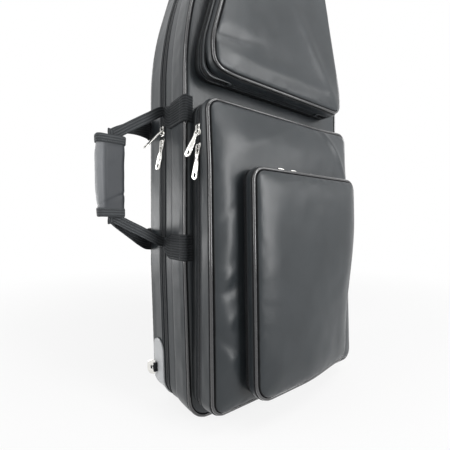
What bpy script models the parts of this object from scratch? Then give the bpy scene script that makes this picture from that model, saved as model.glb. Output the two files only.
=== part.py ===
"""A soft-sided case for a bassoon, with three zipped pockets on its lid, standing upright.

Metres, +Z up. The lid faces -Y and hinges on the +X side. The origin lies on the flat bottom,
under the middle of the back shell's side wall.
"""

from math import cos, pi, radians, sin, tan

import bmesh
import bpy
from mathutils import Matrix, Vector

for old in list(bpy.data.objects):
    bpy.data.objects.remove(old, do_unlink=True)

# Whole case
CASE_WIDTH = 0.360
CASE_HEIGHT = 0.770
BOTTOM_RADIUS = 0.035
BOTTOM_DRAWN_IN = 0.008
DRAW_RADIUS = 0.500
SHOULDER_BELOW_TOP = 0.270
SHOULDER_HEIGHT = CASE_HEIGHT - SHOULDER_BELOW_TOP
SHOULDER_RADIUS = 0.500
TAPER = radians(16)
TOP_RADIUS = 0.070
PARTING_Y = -0.037
LID_DEPTH = 0.069
BACK_DEPTH = 0.051
WALL = 0.007
CLEARANCE = 0.0003

# Piping: a cord wrapped in glossy strip, sewn into the outer edge of each panel
PIPING_RADIUS = 0.0024
PIPING_SEAT = 0.0034

# Zips: two coils with a slot between them, each on the edge of a woven tape
MAIN_ZIP_HALF = 0.0070
POCKET_ZIP_HALF = 0.0060
COIL_GAP = 0.0008
COIL_WIDTH = 0.0026
COIL_OUT = 0.0004
COIL_IN = 0.0028
TAPE_OUT = 0.0016
MAIN_ZIP_PAST_CORNER = 0.055
POCKET_ZIP_PAST_CORNER = 0.030
HINGE_STRIP_OUT = 0.0005
HINGE_STRIP_THICK = 0.0012

# Zip slider and its pull
SLIDER_LENGTH = 0.0130
SLIDER_HALF_WIDTH = 0.0053
SLIDER_TAIL_HALF_WIDTH = 0.0034
SLIDER_PLATE = 0.0012
SLIDER_GAP = 0.0004
SLIDER_WEB_HALF = 0.0005
BAIL_HALF_LENGTH = 0.0050
BAIL_HALF_WIDTH = 0.0010
BAIL_HEIGHT = 0.0034
BAIL_THICK = 0.0009
PULL_LENGTH = 0.0390
PULL_HALF_WIDTH = 0.0038
PULL_THICK = 0.0012
PULL_BAR = 0.0008
PULL_BAR_HEIGHT = 0.00125
PULL_WINDOW_LENGTH = 0.0065
PULL_WINDOW_HALF_WIDTH = 0.0018
PULL_HOLE_HALF_LENGTH = 0.0030
PULL_HOLE_HALF_WIDTH = 0.0016
PULL_HOLE_FROM_END = 0.0055

# Pockets, measured from the case's middle line, its bottom and the face that carries them
POCKET_WALL = 0.0020
UPPER_BELOW_SHOULDER = 0.006
UPPER_BOTTOM = SHOULDER_HEIGHT - UPPER_BELOW_SHOULDER
UPPER_LEFT_MARGIN = 0.017
UPPER_RIGHT_MARGIN = 0.045
UPPER_TOP_MARGIN = 0.025
UPPER_RADIUS = 0.018
UPPER_TOP_RADIUS_SHARE = 0.28
UPPER_SHOULDER_LOWER = 0.030
UPPER_SHOULDER_SHARE = 0.85
UPPER_DEPTH = 0.040
UPPER_ZIP_DEPTH = 0.0190
LARGE_BELOW_UPPER = 0.036
LARGE_TOP = UPPER_BOTTOM - LARGE_BELOW_UPPER
LARGE_LEFT_MARGIN = 0.013
LARGE_RIGHT_MARGIN = 0.030
LARGE_LEFT = CASE_WIDTH / 2 - LARGE_LEFT_MARGIN
LARGE_RIGHT = CASE_WIDTH / 2 - LARGE_RIGHT_MARGIN
LARGE_BOTTOM = 0.030
LARGE_RADIUS = 0.020
LARGE_DEPTH = 0.044
LARGE_ZIP_DEPTH = 0.0195
SMALL_BELOW_LARGE = 0.095
SMALL_TOP = LARGE_TOP - SMALL_BELOW_LARGE
SMALL_MARGIN = 0.063
SMALL_HALF_WIDTH = CASE_WIDTH / 2 - SMALL_MARGIN
SMALL_BOTTOM = 0.048
SMALL_RADIUS = 0.020
SMALL_BOTTOM_RADIUS = 0.028
SMALL_DEPTH = 0.035
SMALL_ZIP_DEPTH = 0.0155

# Handle: two webbing loops held together by a wrap
WEBBING = 0.0020
ANCHOR_HALF_HEIGHT = 0.0190
UPPER_ANCHOR_BELOW_NECK = 0.013
LOWER_ANCHOR_BELOW_NECK = 0.0055
FOLD_LENGTH = 0.0205
DRAW_BELOW_ANCHOR = 0.013
NECK_BELOW_SHOULDER = 0.038
NECKS_APART = 0.205
UPPER_NECK_HEIGHT = SHOULDER_HEIGHT - NECK_BELOW_SHOULDER
LOWER_NECK_HEIGHT = UPPER_NECK_HEIGHT - NECKS_APART
NECK_HALF_HEIGHT = 0.0070
NECK_FROM_PARTING = 0.0085
LOOP_STRAIGHT = 0.040
GRIP_REACH = 0.081
GRIP_LENGTH = 0.115
GRIP_WIDTH = 0.036
GRIP_WALL = 0.0040
GRIP_BELOW_MIDDLE = 0.0055
GRIP_CENTRE_HEIGHT = LOWER_NECK_HEIGHT + NECKS_APART / 2 - GRIP_BELOW_MIDDLE
GRIP_SIDE_GAP = 0.0028
LOOP_GAP = 0.0006
REAR_LOOP_NARROWER = 0.0030
REAR_LOOP_STRAIGHT = 0.004
REAR_UPPER_NECK_LOWER = 0.013
REAR_LOWER_NECK_HIGHER = 0.003
BINDING_HEIGHT = 0.0110
BINDING_THICK = 0.0010

# Where the sliders rest, below the upper neck, below a pocket's top or from the middle line
MAIN_SLIDER_DROPS = (0.029, 0.049)
LARGE_SLIDER_DROPS = (0.042, 0.069)
SMALL_SLIDER_PLACES = (-0.133 * CASE_WIDTH, -0.056 * CASE_WIDTH)
UPPER_SLIDERS_APART = 0.030

# Corner guards, webbing tabs and D-rings on the back shell
GUARD_THICK = 0.0012
GUARD_TOP = 0.096
GUARD_EDGE = 0.003
GUARD_LEAST_ANGLE = radians(25)
RING_WIRE = 0.0015
RING_HALF_WIDTH = 0.0110
TAB_HALF_WIDTH = 0.0075
TAB_THICK = 0.0010
TAB_FOOT = 0.0035
RING_FROM_BACK = 0.0160

# Fitted tray and lid pad; each lane holds one joint of the instrument
PAD_THICK = 0.018
TRAY_BELOW_PARTING = 0.0030
LANE_FLOOR = 0.0095
LANE_BOTTOM = 0.030
LONG_TOP_ROOM = 0.130
LONG_LENGTH = CASE_HEIGHT - LANE_BOTTOM - LONG_TOP_ROOM
BELL_LENGTH, WING_LENGTH, BOOT_LENGTH = 0.574 * LONG_LENGTH, 0.811 * LONG_LENGTH, 0.721 * LONG_LENGTH
BELL_WIDTH, LONG_WIDTH = 0.208 * CASE_WIDTH, 0.161 * CASE_WIDTH
WING_WIDTH, BOOT_WIDTH = 0.183 * CASE_WIDTH, 0.256 * CASE_WIDTH
WELL_GAP = 0.022
BELL_WELL_LENGTH = 0.213 * LONG_LENGTH
BOOT_WELL_LENGTH = 0.180 * LONG_LENGTH
WELL_DEPTH = 0.025
CUT_OVERRUN = 0.010

# Facets
CORNER_STEPS = 6
SHOULDER_STEPS = 3
POCKET_CORNER_STEPS = 4
PIPING_SIDES = 6
SMOOTH_ANGLE = radians(35)

LID_Y = PARTING_Y - LID_DEPTH
BACK_Y = PARTING_Y + BACK_DEPTH
HALF_WIDTH = CASE_WIDTH / 2

# Materials: colour, roughness, metallic
FINISHES = {
    "nylon": ((0.030, 0.031, 0.034), 0.55, 0.0),
    "gloss_piping": ((0.010, 0.010, 0.011), 0.22, 0.0),
    "webbing": ((0.012, 0.012, 0.013), 0.85, 0.0),
    "zip_tape": ((0.010, 0.010, 0.011), 0.70, 0.0),
    "nickel": ((0.70, 0.70, 0.71), 0.18, 1.0),
    "grip_vinyl": ((0.115, 0.117, 0.125), 0.60, 0.0),
    "guard_plastic": ((0.46, 0.47, 0.49), 0.45, 0.0),
    "plush": ((0.035, 0.036, 0.045), 0.95, 0.0),
}


def material(finish):
    """The Principled material of one finish, made once."""
    made = bpy.data.materials.get(finish)
    if made is None:
        made = bpy.data.materials.new(finish)
        made.use_nodes = True
        colour, roughness, metallic = FINISHES[finish]
        shader = made.node_tree.nodes["Principled BSDF"]
        shader.inputs["Base Color"].default_value = (*colour, 1)
        shader.inputs["Roughness"].default_value = roughness
        shader.inputs["Metallic"].default_value = metallic
    return made


def pivot(name, place, parent=None):
    """An empty on a joint's axis; place is in world space."""
    empty = bpy.data.objects.new(name, None)
    bpy.context.scene.collection.objects.link(empty)
    carry(empty, parent)
    empty.location = place
    empty["place"] = place
    return empty


def carry(child, parent):
    """Parents child, whose own coordinates stay in world space."""
    if parent is not None:
        child.parent = parent
        child.matrix_parent_inverse = Matrix.Translation(-Vector(parent["place"]))


def piece(name, mesh, finish, parent=None):
    """A finished sub-part: its mesh is in world space and it moves with its parent."""
    if isinstance(mesh, bmesh.types.BMesh):
        shape, mesh = mesh, bpy.data.meshes.new(name)
        shape.to_mesh(mesh)
        shape.free()
    mesh.materials.clear()
    mesh.materials.append(material(finish))
    mesh.shade_smooth()
    mesh.set_sharp_from_angle(angle=SMOOTH_ANGLE)
    made = bpy.data.objects.new(name, mesh)
    bpy.context.scene.collection.objects.link(made)
    carry(made, parent)
    return made


def loft(sections, wrap=False, into=None):
    """A closed solid through loops of equally many points; wrap joins the last loop to the first."""
    shape = into or bmesh.new()
    loops = [[shape.verts.new(point) for point in section] for section in sections]
    for near, far in zip(loops, loops[1:] + loops[:1] if wrap else loops[1:]):
        for i in range(len(near)):
            shape.faces.new((near[i - 1], near[i], far[i], far[i - 1]))
    if not wrap:
        shape.faces.new(loops[0])
        shape.faces.new(loops[-1])
    bmesh.ops.recalc_face_normals(shape, faces=shape.faces)
    return shape


def rounded(corners):
    """Points and outward normals round a polygon of (x, z, radius, steps), anticlockwise from the front."""
    path = []
    for i, (x, z, radius, steps) in enumerate(corners):
        corner = Vector((x, z))
        incoming = (corner - Vector(corners[i - 1][:2])).normalized()
        outgoing = (Vector(corners[(i + 1) % len(corners)][:2]) - corner).normalized()
        turn = incoming.angle(outgoing)
        start = corner - incoming * radius * tan(turn / 2)
        normal = Vector((incoming.y, -incoming.x))
        centre = start - normal * radius
        for step in range(steps + 1):
            here = Matrix.Rotation(turn * step / steps, 2) @ normal
            path.append((centre + here * radius, here))
    return path


def shoulder_corner(margin, shoulder_height):
    """Height at which the straight side and the taper would meet."""
    return shoulder_height + (SHOULDER_RADIUS - margin) * tan(TAPER / 2)


def tapered(left_margin, right_margin, bottom, top, radii, shoulder_height, steps):
    """Corners of an outline that narrows upwards, from the bottom right corner on.

    radii are those of the bottom corners, the shoulders and the top corners.
    """
    bottom_radius, shoulder_radius, top_radius = radii
    sides = []
    for side, margin in ((1, right_margin), (-1, left_margin)):
        half = HALF_WIDTH - margin
        shoulder = shoulder_corner(margin, shoulder_height)
        top_half = half - (top - shoulder) * tan(TAPER)
        sides.append(
            [
                (side * half, bottom, bottom_radius, steps),
                (side * half, shoulder, shoulder_radius, SHOULDER_STEPS),
                (side * top_half, top, top_radius, steps),
            ]
        )
    right, left = sides
    return right + left[::-1]


def boxed(left, right, bottom, top, radius, bottom_radius):
    """Corners of an upright rectangle, from the bottom right corner on."""
    places = [(right, bottom, bottom_radius), (right, top, radius)]
    places += [(left, top, radius), (left, bottom, bottom_radius)]
    return [(x, z, corner_radius, POCKET_CORNER_STEPS) for x, z, corner_radius in places]


def zip_run(path, past_corner):
    """The stretch of a closed path that the zip follows: all but the middle of its hinge side."""
    (last, normal), (first, _) = path[-1], path[0]
    along = (first - last).normalized()
    return [(first - along * past_corner, normal)] + path + [(last + along * past_corner, normal)]


def at(sample, inset, y):
    """A point that far inside the outline at one of its samples."""
    point, normal = sample
    inner = point - normal * inset
    return (inner.x, y, inner.y)


def ring(path, inset, y):
    return [at(sample, inset, y) for sample in path]


def bucket(path, profile):
    """A shell: one loop of the outline for each (inset, y) of the profile, closed at both ends."""
    return loft([ring(path, inset, y) for inset, y in profile])


def strip(path, profile, closed):
    """A bar whose section is the profile, along an outline or an open stretch of it."""
    return loft([[at(sample, inset, y) for inset, y in profile] for sample in path], wrap=closed)


def piping(name, path, face_y, outward, parent):
    """The piped edge of a panel whose face is at face_y and looks along outward, -1 or 1."""
    centre_inset = PIPING_RADIUS
    centre_y = face_y - outward * (PIPING_SEAT - PIPING_RADIUS - CLEARANCE)
    turns = [2 * pi * k / PIPING_SIDES for k in range(PIPING_SIDES)]
    profile = [
        (centre_inset + PIPING_RADIUS * cos(turn), centre_y + PIPING_RADIUS * sin(turn)) for turn in turns
    ]
    return piece(name, strip(path, profile, True), "gloss_piping", parent)


def panel_shell(path, face_y, rim_y, wall, floor):
    """A tray-shaped half: its face at face_y has a seat for the piping, its rim is at rim_y."""
    outward = 1 if face_y > rim_y else -1
    seat_inset = PIPING_RADIUS * 2 + CLEARANCE
    return bucket(
        path,
        [
            (wall, face_y - outward * floor),
            (wall, rim_y),
            (0, rim_y),
            (0, face_y - outward * PIPING_SEAT),
            (seat_inset, face_y - outward * PIPING_SEAT),
            (seat_inset, face_y),
        ],
    )


def zip_tape(name, path, centre_y, side, half, past_corner, parent):
    """One half of a zip: the coil beside the slot, and the tape that runs from it to the fabric's rim."""
    coil_start = centre_y + side * COIL_GAP
    coil_end = centre_y + side * (COIL_GAP + COIL_WIDTH)
    rim = centre_y + side * (half - CLEARANCE)
    profile = [
        (COIL_OUT, coil_start),
        (COIL_OUT, coil_end),
        (TAPE_OUT, coil_end),
        (TAPE_OUT, rim),
        (COIL_IN, rim),
        (COIL_IN, coil_start),
    ]
    return piece(name, strip(zip_run(path, past_corner), profile, False), "zip_tape", parent)


def hinge_strip(name, path, centre_y, half, past_corner, parent):
    """The flexible fabric that joins two halves where the zip stops."""
    (last, normal), (first, _) = path[-1], path[0]
    along = (first - last).normalized()
    reach = past_corner + CLEARANCE
    ends = [(last + along * reach, normal), (first - along * reach, normal)]
    inner = HINGE_STRIP_OUT + HINGE_STRIP_THICK
    low, high = centre_y - half + CLEARANCE, centre_y + half - CLEARANCE
    profile = [(HINGE_STRIP_OUT, low), (HINGE_STRIP_OUT, high), (inner, high), (inner, low)]
    return piece(name, strip(ends, profile, False), "nylon", parent)


def evaluated_mesh(made):
    """The mesh of an object with its modifiers applied; the object itself is removed."""
    graph = bpy.context.evaluated_depsgraph_get()
    mesh = bpy.data.meshes.new_from_object(made.evaluated_get(graph))
    for modifier in made.modifiers:
        bpy.data.objects.remove(modifier.object, do_unlink=True)
    bpy.data.objects.remove(made, do_unlink=True)
    return mesh


def with_boolean(base, other, operation):
    """The mesh of base and other, both BMesh, after one exact Boolean."""
    body = piece("base_shape", base, "nickel")
    tool = piece("tool_shape", other, "nickel")
    tool.hide_render = True
    tool.display_type = "WIRE"
    boolean = body.modifiers.new(operation.title(), "BOOLEAN")
    boolean.operation = operation
    boolean.object = tool
    return evaluated_mesh(body)


# Zip slider, in its own frame: x along the zip, y across it and z out of the fabric, from the outline
PLATE_UNDER = -COIL_OUT + SLIDER_GAP
PLATE_TOP = PLATE_UNDER + SLIDER_PLATE
BACK_PLATE_TOP = -COIL_IN - SLIDER_GAP
BACK_PLATE_UNDER = BACK_PLATE_TOP - SLIDER_PLATE
BAR_HEIGHT = PLATE_TOP + PULL_BAR_HEIGHT
SLIDER_STATION_SHARES = ((-0.5, 0.55), (-0.42, 0.85), (-0.05, 0.75), (0.25, 1.0), (0.42, 1.0), (0.5, 0.7))


def slider_mesh():
    """Two plates joined by a web that runs in the slot between the coils, and the bail on top."""
    sections = []
    for along_share, width_share in SLIDER_STATION_SHARES:
        x = along_share * SLIDER_LENGTH
        half = width_share * SLIDER_HALF_WIDTH
        if along_share < 0:
            half = max(width_share * SLIDER_TAIL_HALF_WIDTH, SLIDER_TAIL_HALF_WIDTH / 2)
        web = SLIDER_WEB_HALF
        outline = [
            (half, PLATE_TOP), (half, PLATE_UNDER), (web, PLATE_UNDER),
            (web, BACK_PLATE_TOP), (half, BACK_PLATE_TOP), (half, BACK_PLATE_UNDER),
        ]
        mirrored = [(-y, z) for y, z in outline[::-1]]
        sections.append([(x, y, z) for y, z in outline + mirrored])
    body = loft(sections)

    foot = PLATE_TOP - SLIDER_PLATE / 2
    top = PLATE_TOP + BAIL_HEIGHT
    slope = BAIL_HALF_LENGTH * 0.3
    inner = BAIL_HALF_LENGTH - BAIL_THICK
    arch = [
        (-BAIL_HALF_LENGTH, foot), (-BAIL_HALF_LENGTH, top - slope), (slope - BAIL_HALF_LENGTH, top),
        (BAIL_HALF_LENGTH - slope, top), (BAIL_HALF_LENGTH, top - slope), (BAIL_HALF_LENGTH, foot),
        (inner, foot), (inner, top - slope), (inner - slope + BAIL_THICK / 2, top - BAIL_THICK),
        (slope - inner - BAIL_THICK / 2, top - BAIL_THICK), (-inner, top - slope), (-inner, foot),
    ]
    bail = loft([[(x, y, z) for x, z in arch] for y in (-BAIL_HALF_WIDTH, BAIL_HALF_WIDTH)])
    return with_boolean(body, bail, "UNION")


def arc_points(centre_x, centre_y, radius_x, radius_y, start, end, steps):
    turns = [start + (end - start) * step / steps for step in range(steps + 1)]
    return [(centre_x + radius_x * cos(turn), centre_y + radius_y * sin(turn)) for turn in turns]


PULL_OUTLINE_SHARES = ((0.0, 0.79), (0.20, 0.79), (0.26, 0.62), (0.36, 0.62), (0.50, 0.95))
PULL_STEPS = 6


def pull_mesh():
    """The flat pull tab: a window whose end bar runs under the bail, and an oval hole at its far end."""
    edge = [(share * PULL_LENGTH - PULL_BAR, width_share * PULL_HALF_WIDTH)
            for share, width_share in PULL_OUTLINE_SHARES]
    far = PULL_LENGTH - PULL_BAR - PULL_HALF_WIDTH
    tip = arc_points(far, 0, PULL_HALF_WIDTH, PULL_HALF_WIDTH, pi / 2, -pi / 2, PULL_STEPS)
    outer = edge + tip + [(x, -y) for x, y in edge[::-1]]
    window = [(x, y) for x in (PULL_BAR, PULL_WINDOW_LENGTH)
              for y in (-PULL_WINDOW_HALF_WIDTH, PULL_WINDOW_HALF_WIDTH)]
    window[2], window[3] = window[3], window[2]
    hole = arc_points(PULL_LENGTH - PULL_BAR - PULL_HOLE_FROM_END, 0, PULL_HOLE_HALF_LENGTH,
                      PULL_HOLE_HALF_WIDTH, 0, 2 * pi, PULL_STEPS)[:-1]
    shape = bmesh.new()
    edges = []
    for outline in (outer, window, hole):
        corners = [shape.verts.new((x, y, -PULL_THICK / 2)) for x, y in outline]
        edges += [shape.edges.new((corners[i - 1], corners[i])) for i in range(len(corners))]
    flat = bmesh.ops.triangle_fill(shape, use_beauty=True, use_dissolve=False, edges=edges)
    faces = [item for item in flat["geom"] if isinstance(item, bmesh.types.BMFace)]
    raised = bmesh.ops.extrude_face_region(shape, geom=faces)
    moved = [item for item in raised["geom"] if isinstance(item, bmesh.types.BMVert)]
    bmesh.ops.translate(shape, verts=moved, vec=(0, 0, PULL_THICK))
    bmesh.ops.recalc_face_normals(shape, faces=shape.faces)
    mesh = bpy.data.meshes.new("pull")
    shape.to_mesh(mesh)
    shape.free()
    return mesh


SLIDER = slider_mesh()
PULL = pull_mesh()


def slider_with_pull(name, place, along, outward, pull_lift, parent):
    """A slider at a place on the outline; the pull hangs back along the zip, lifted by pull_lift."""
    across = Vector(outward).cross(Vector(along))
    frame = Matrix((Vector(along), across, Vector(outward))).transposed().to_4x4()
    frame.translation = Vector(place)
    slide = pivot(name + "_slide", tuple(place), parent)
    body = SLIDER.copy()
    body.transform(frame)
    piece(name, body, "nickel", slide)

    bar = frame @ Matrix.Translation((0, 0, BAR_HEIGHT))
    hinge = pivot(name + "_pull_hinge", tuple(bar.translation), slide)
    tab = PULL.copy()
    tab.transform(bar @ Matrix.Rotation(pi + pull_lift, 4, "Y"))
    piece(name + "_pull", tab, "nickel", hinge)
    return slide


def beside(path, side, height):
    """Where an outline passes a height on one side: the place and the outward normal there."""
    for (a, m), (b, n) in zip(path, path[1:] + path[:1]):
        if min(side * a.x, side * b.x) > 0 and min(a.y, b.y) <= height < max(a.y, b.y):
            share = (height - a.y) / (b.y - a.y)
            return a.lerp(b, share), m.lerp(n, share).normalized()
    raise ValueError("the outline does not pass that height")


def band(line, thickness):
    """A strip of even thickness beside a line of (u, v) points; a positive one lies to its left."""
    line = [Vector(point) for point in line]
    outer = []
    for i, point in enumerate(line):
        runs = [(line[j + 1] - line[j]).normalized() for j in (i - 1, i) if 0 <= j < len(line) - 1]
        normals = [Vector((-run.y, run.x)) for run in runs]
        mean = sum(normals, Vector((0, 0))).normalized()
        outer.append(point + mean * (thickness / mean.dot(normals[0])))
    return [tuple(point) for point in line + outer[::-1]]


def upright(outline, low, high):
    """A solid with an (x, y) outline, from one height to another."""
    return loft([[(x, y, z) for x, y in outline] for z in (low, high)])


def right_hinged(corners):
    return rounded(corners[1:] + corners[:1])


POCKET_FLOOR = PIPING_SEAT + POCKET_WALL


def pocket(name, path, root_y, depth, zip_depth, hinge_place, carrier):
    """A zipped pocket: a wall on its carrier, and a door that swings on a strip of fabric."""
    zip_y = root_y - zip_depth
    inner_rim = zip_y + POCKET_ZIP_HALF
    wall = [(inset, y) for inset in (0, POCKET_WALL) for y in (root_y - CLEARANCE, inner_rim)]
    wall[2], wall[3] = wall[3], wall[2]
    piece(name + "_gusset", strip(path, wall, True), "nylon", carrier)
    zip_tape(name + "_inner_tape", path, zip_y, 1, POCKET_ZIP_HALF, POCKET_ZIP_PAST_CORNER, carrier)
    hinge_strip(name + "_hinge_strip", path, zip_y, POCKET_ZIP_HALF, POCKET_ZIP_PAST_CORNER, carrier)
    door = pivot(name + "_hinge", (hinge_place[0], zip_y, hinge_place[1]), carrier)
    door_rim = zip_y - POCKET_ZIP_HALF
    panel = panel_shell(path, root_y - depth, door_rim, POCKET_WALL, POCKET_FLOOR)
    piece(name + "_door", panel, "nylon", door)
    piping(name + "_piping", path, root_y - depth, -1, door)
    zip_tape(name + "_outer_tape", path, zip_y, -1, POCKET_ZIP_HALF, POCKET_ZIP_PAST_CORNER, door)
    return door


# Outlines, each from the end of its hinge side round to the start of it. The case's handle side draws in
# below the handle
case_corners = tapered(
    0, 0, 0, CASE_HEIGHT, (BOTTOM_RADIUS, SHOULDER_RADIUS, TOP_RADIUS), SHOULDER_HEIGHT, CORNER_STEPS
)
case_corners[-1] = (BOTTOM_DRAWN_IN - HALF_WIDTH, 0, BOTTOM_RADIUS, CORNER_STEPS)
draw_height = LOWER_NECK_HEIGHT - ANCHOR_HALF_HEIGHT - DRAW_BELOW_ANCHOR
case_corners.insert(-1, (-HALF_WIDTH, draw_height, DRAW_RADIUS, SHOULDER_STEPS))
CASE = right_hinged(case_corners)
LARGE = right_hinged(boxed(-LARGE_LEFT, LARGE_RIGHT, LARGE_BOTTOM, LARGE_TOP, LARGE_RADIUS, LARGE_RADIUS))
SMALL = rounded(
    boxed(-SMALL_HALF_WIDTH, SMALL_HALF_WIDTH, SMALL_BOTTOM, SMALL_TOP, SMALL_RADIUS, SMALL_BOTTOM_RADIUS)
)
upper_top = CASE_HEIGHT - UPPER_TOP_MARGIN
upper_shoulder = SHOULDER_HEIGHT - UPPER_SHOULDER_LOWER
shoulder_room = shoulder_corner(UPPER_RIGHT_MARGIN, upper_shoulder) - UPPER_BOTTOM - UPPER_RADIUS
upper_lean = (upper_top - shoulder_corner(UPPER_LEFT_MARGIN, upper_shoulder)) * tan(TAPER)
upper_top_run = CASE_WIDTH - UPPER_LEFT_MARGIN - UPPER_RIGHT_MARGIN - 2 * upper_lean
upper_shoulder_radius = UPPER_SHOULDER_SHARE * shoulder_room / tan(TAPER / 2)
upper_radii = (UPPER_RADIUS, upper_shoulder_radius, UPPER_TOP_RADIUS_SHARE * upper_top_run)
UPPER = rounded(
    tapered(
        UPPER_LEFT_MARGIN, UPPER_RIGHT_MARGIN, UPPER_BOTTOM, upper_top, upper_radii, upper_shoulder,
        POCKET_CORNER_STEPS,
    )
)

# Back shell, its piping and its half of the main zip
back_rim = PARTING_Y + MAIN_ZIP_HALF
piece("back_shell", panel_shell(CASE, BACK_Y, back_rim, WALL, WALL), "nylon")
piping("back_piping", CASE, BACK_Y, 1, None)
zip_tape("back_zip_tape", CASE, PARTING_Y, 1, MAIN_ZIP_HALF, MAIN_ZIP_PAST_CORNER, None)
hinge_strip("lid_hinge_strip", CASE, PARTING_Y, MAIN_ZIP_HALF, MAIN_ZIP_PAST_CORNER, None)

# Lid shell, its piping, its half of the main zip and the pad inside
lid = pivot("lid_hinge", (HALF_WIDTH, PARTING_Y, 0))
lid_rim = PARTING_Y - MAIN_ZIP_HALF
piece("lid_shell", panel_shell(CASE, LID_Y, lid_rim, WALL, WALL), "nylon", lid)
piping("lid_piping", CASE, LID_Y, -1, lid)
zip_tape("lid_zip_tape", CASE, PARTING_Y, -1, MAIN_ZIP_HALF, MAIN_ZIP_PAST_CORNER, lid)
lining = WALL + CLEARANCE
pad_back = LID_Y + lining
piece("lid_pad", bucket(CASE, [(lining, pad_back), (lining, pad_back + PAD_THICK)]), "plush", lid)

# Pockets
large_zip_y = LID_Y - LARGE_ZIP_DEPTH
large_door = pocket("large_pocket", LARGE, LID_Y, LARGE_DEPTH, LARGE_ZIP_DEPTH, (LARGE_RIGHT, 0), lid)
small_root = LID_Y - LARGE_DEPTH
small_zip_y = small_root - SMALL_ZIP_DEPTH
pocket("small_pocket", SMALL, small_root, SMALL_DEPTH, SMALL_ZIP_DEPTH, (0, SMALL_BOTTOM), large_door)
upper_zip_y = LID_Y - UPPER_ZIP_DEPTH
pocket("upper_pocket", UPPER, LID_Y, UPPER_DEPTH, UPPER_ZIP_DEPTH, (0, UPPER_BOTTOM), lid)

# Sliders: in each pair the wide ends face each other, and the pulls hang or lie as gravity leaves them
LEFT, UP, DOWN, RIGHTWARDS, LEFTWARDS = (-1, 0, 0), (0, 0, 1), (0, 0, -1), (1, 0, 0), (-1, 0, 0)
PULL_LIFTS = {"proud": radians(42), "hanging": radians(8), "slanting": radians(25), "lying": 0}
upper_height, lower_height = (UPPER_NECK_HEIGHT - drop for drop in MAIN_SLIDER_DROPS)
for name, height, along, lift in (
    ("main_slider_upper", upper_height, DOWN, pi - PULL_LIFTS["proud"]),
    ("main_slider_lower", lower_height, UP, PULL_LIFTS["hanging"]),
):
    slider_with_pull(name, (-HALF_WIDTH, PARTING_Y, height), along, LEFT, lift, None)
upper_height, lower_height = (LARGE_TOP - drop for drop in LARGE_SLIDER_DROPS)
for name, height, along, lift in (
    ("large_slider_upper", upper_height, DOWN, pi - PULL_LIFTS["slanting"]),
    ("large_slider_lower", lower_height, UP, PULL_LIFTS["hanging"]),
):
    slider_with_pull(name, (-LARGE_LEFT, large_zip_y, height), along, LEFT, lift, lid)
upper_middle = (UPPER_LEFT_MARGIN - UPPER_RIGHT_MARGIN) / 2
upper_places = (upper_middle - UPPER_SLIDERS_APART / 2, upper_middle + UPPER_SLIDERS_APART / 2)
for pocket_name, places, zip_y, height, carrier in (
    ("small", SMALL_SLIDER_PLACES, small_zip_y, SMALL_TOP, large_door),
    ("upper", upper_places, upper_zip_y, upper_top, lid),
):
    left_place, right_place = places
    for side, place, along in (("left", left_place, RIGHTWARDS), ("right", right_place, LEFTWARDS)):
        name = pocket_name + "_slider_" + side
        slider_with_pull(name, (place, zip_y, height), along, UP, PULL_LIFTS["lying"], carrier)

# Handle anchors: webbing sewn round the lid's outer edge as far as the zip, and to the back's edge, where
# each loop leaves it
PIPING_PROUD = 2 * PIPING_RADIUS + CLEARANCE - PIPING_SEAT
front_necks = (UPPER_NECK_HEIGHT, LOWER_NECK_HEIGHT)
rear_necks = (UPPER_NECK_HEIGHT - REAR_UPPER_NECK_LOWER, LOWER_NECK_HEIGHT + REAR_LOWER_NECK_HIGHER)
on_side = -(HALF_WIDTH + CLEARANCE)
front_root = Vector((on_side - WEBBING - CLEARANCE, PARTING_Y - NECK_FROM_PARTING))
rear_root = Vector((on_side - CLEARANCE, BACK_Y + CLEARANCE + PIPING_PROUD + WEBBING / 2))


def anchor(name, height, neck, side, face_y, foot_x, parent):
    """The webbing sewn to one half; side is -1 on the lid, where it is folded to the neck, and 1 on the back."""
    beside_piping = -(HALF_WIDTH - 2 * PIPING_RADIUS - CLEARANCE - WEBBING / 2)
    on_face = face_y + side * CLEARANCE
    over_piping = on_face + side * PIPING_PROUD
    line = [
        (foot_x, on_face),
        (beside_piping, on_face),
        (beside_piping - WEBBING / 2, over_piping),
        (on_side, over_piping),
    ]
    heights = [(height, ANCHOR_HALF_HEIGHT)] * len(line)
    if side < 0:
        end_y = front_root.y + WEBBING / 2
        line += [(on_side, end_y - FOLD_LENGTH), (on_side, end_y)]
        heights += [(height, ANCHOR_HALF_HEIGHT), (neck, NECK_HALF_HEIGHT)]
    outline = band(line, -side * WEBBING)
    sections = []
    for inner, outer, (middle, half) in zip(outline, outline[::-1], heights):
        sections.append([(*inner, middle - half), (*outer, middle - half), (*outer, middle + half),
                         (*inner, middle + half)])
    piece(name, loft(sections), "webbing", parent)


for place, neck, below, rear_height in zip(
    ("upper", "lower"), front_necks, (UPPER_ANCHOR_BELOW_NECK, LOWER_ANCHOR_BELOW_NECK), rear_necks
):
    anchor("front_strap_anchor_" + place, neck - below, neck, -1, LID_Y, -(LARGE_LEFT + CLEARANCE), lid)
    rear_foot = -(LARGE_LEFT - ANCHOR_HALF_HEIGHT)
    anchor("rear_strap_anchor_" + place, rear_height, rear_height, 1, BACK_Y, rear_foot, None)

# Handle loops: flat webbing that lies inside the wrap in between. The front one is folded to a neck at each
# end, and the rear one keeps its full width where it leaves the back
LOOP_SHARES = (
    (0.0, 0.0), (0.02, 0.0), (0.11, 0.0), (0.30, 0.11), (0.52, 0.29), (0.74, 0.50), (0.92, 0.70), (1.0, 0.84),
    (1.0, 1.0),
)
ROOT_THICKNESS_SHARE = 0.3
grip_x = -(HALF_WIDTH + GRIP_REACH)
grip_half_inside = GRIP_WIDTH / 2 - GRIP_WALL


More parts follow.
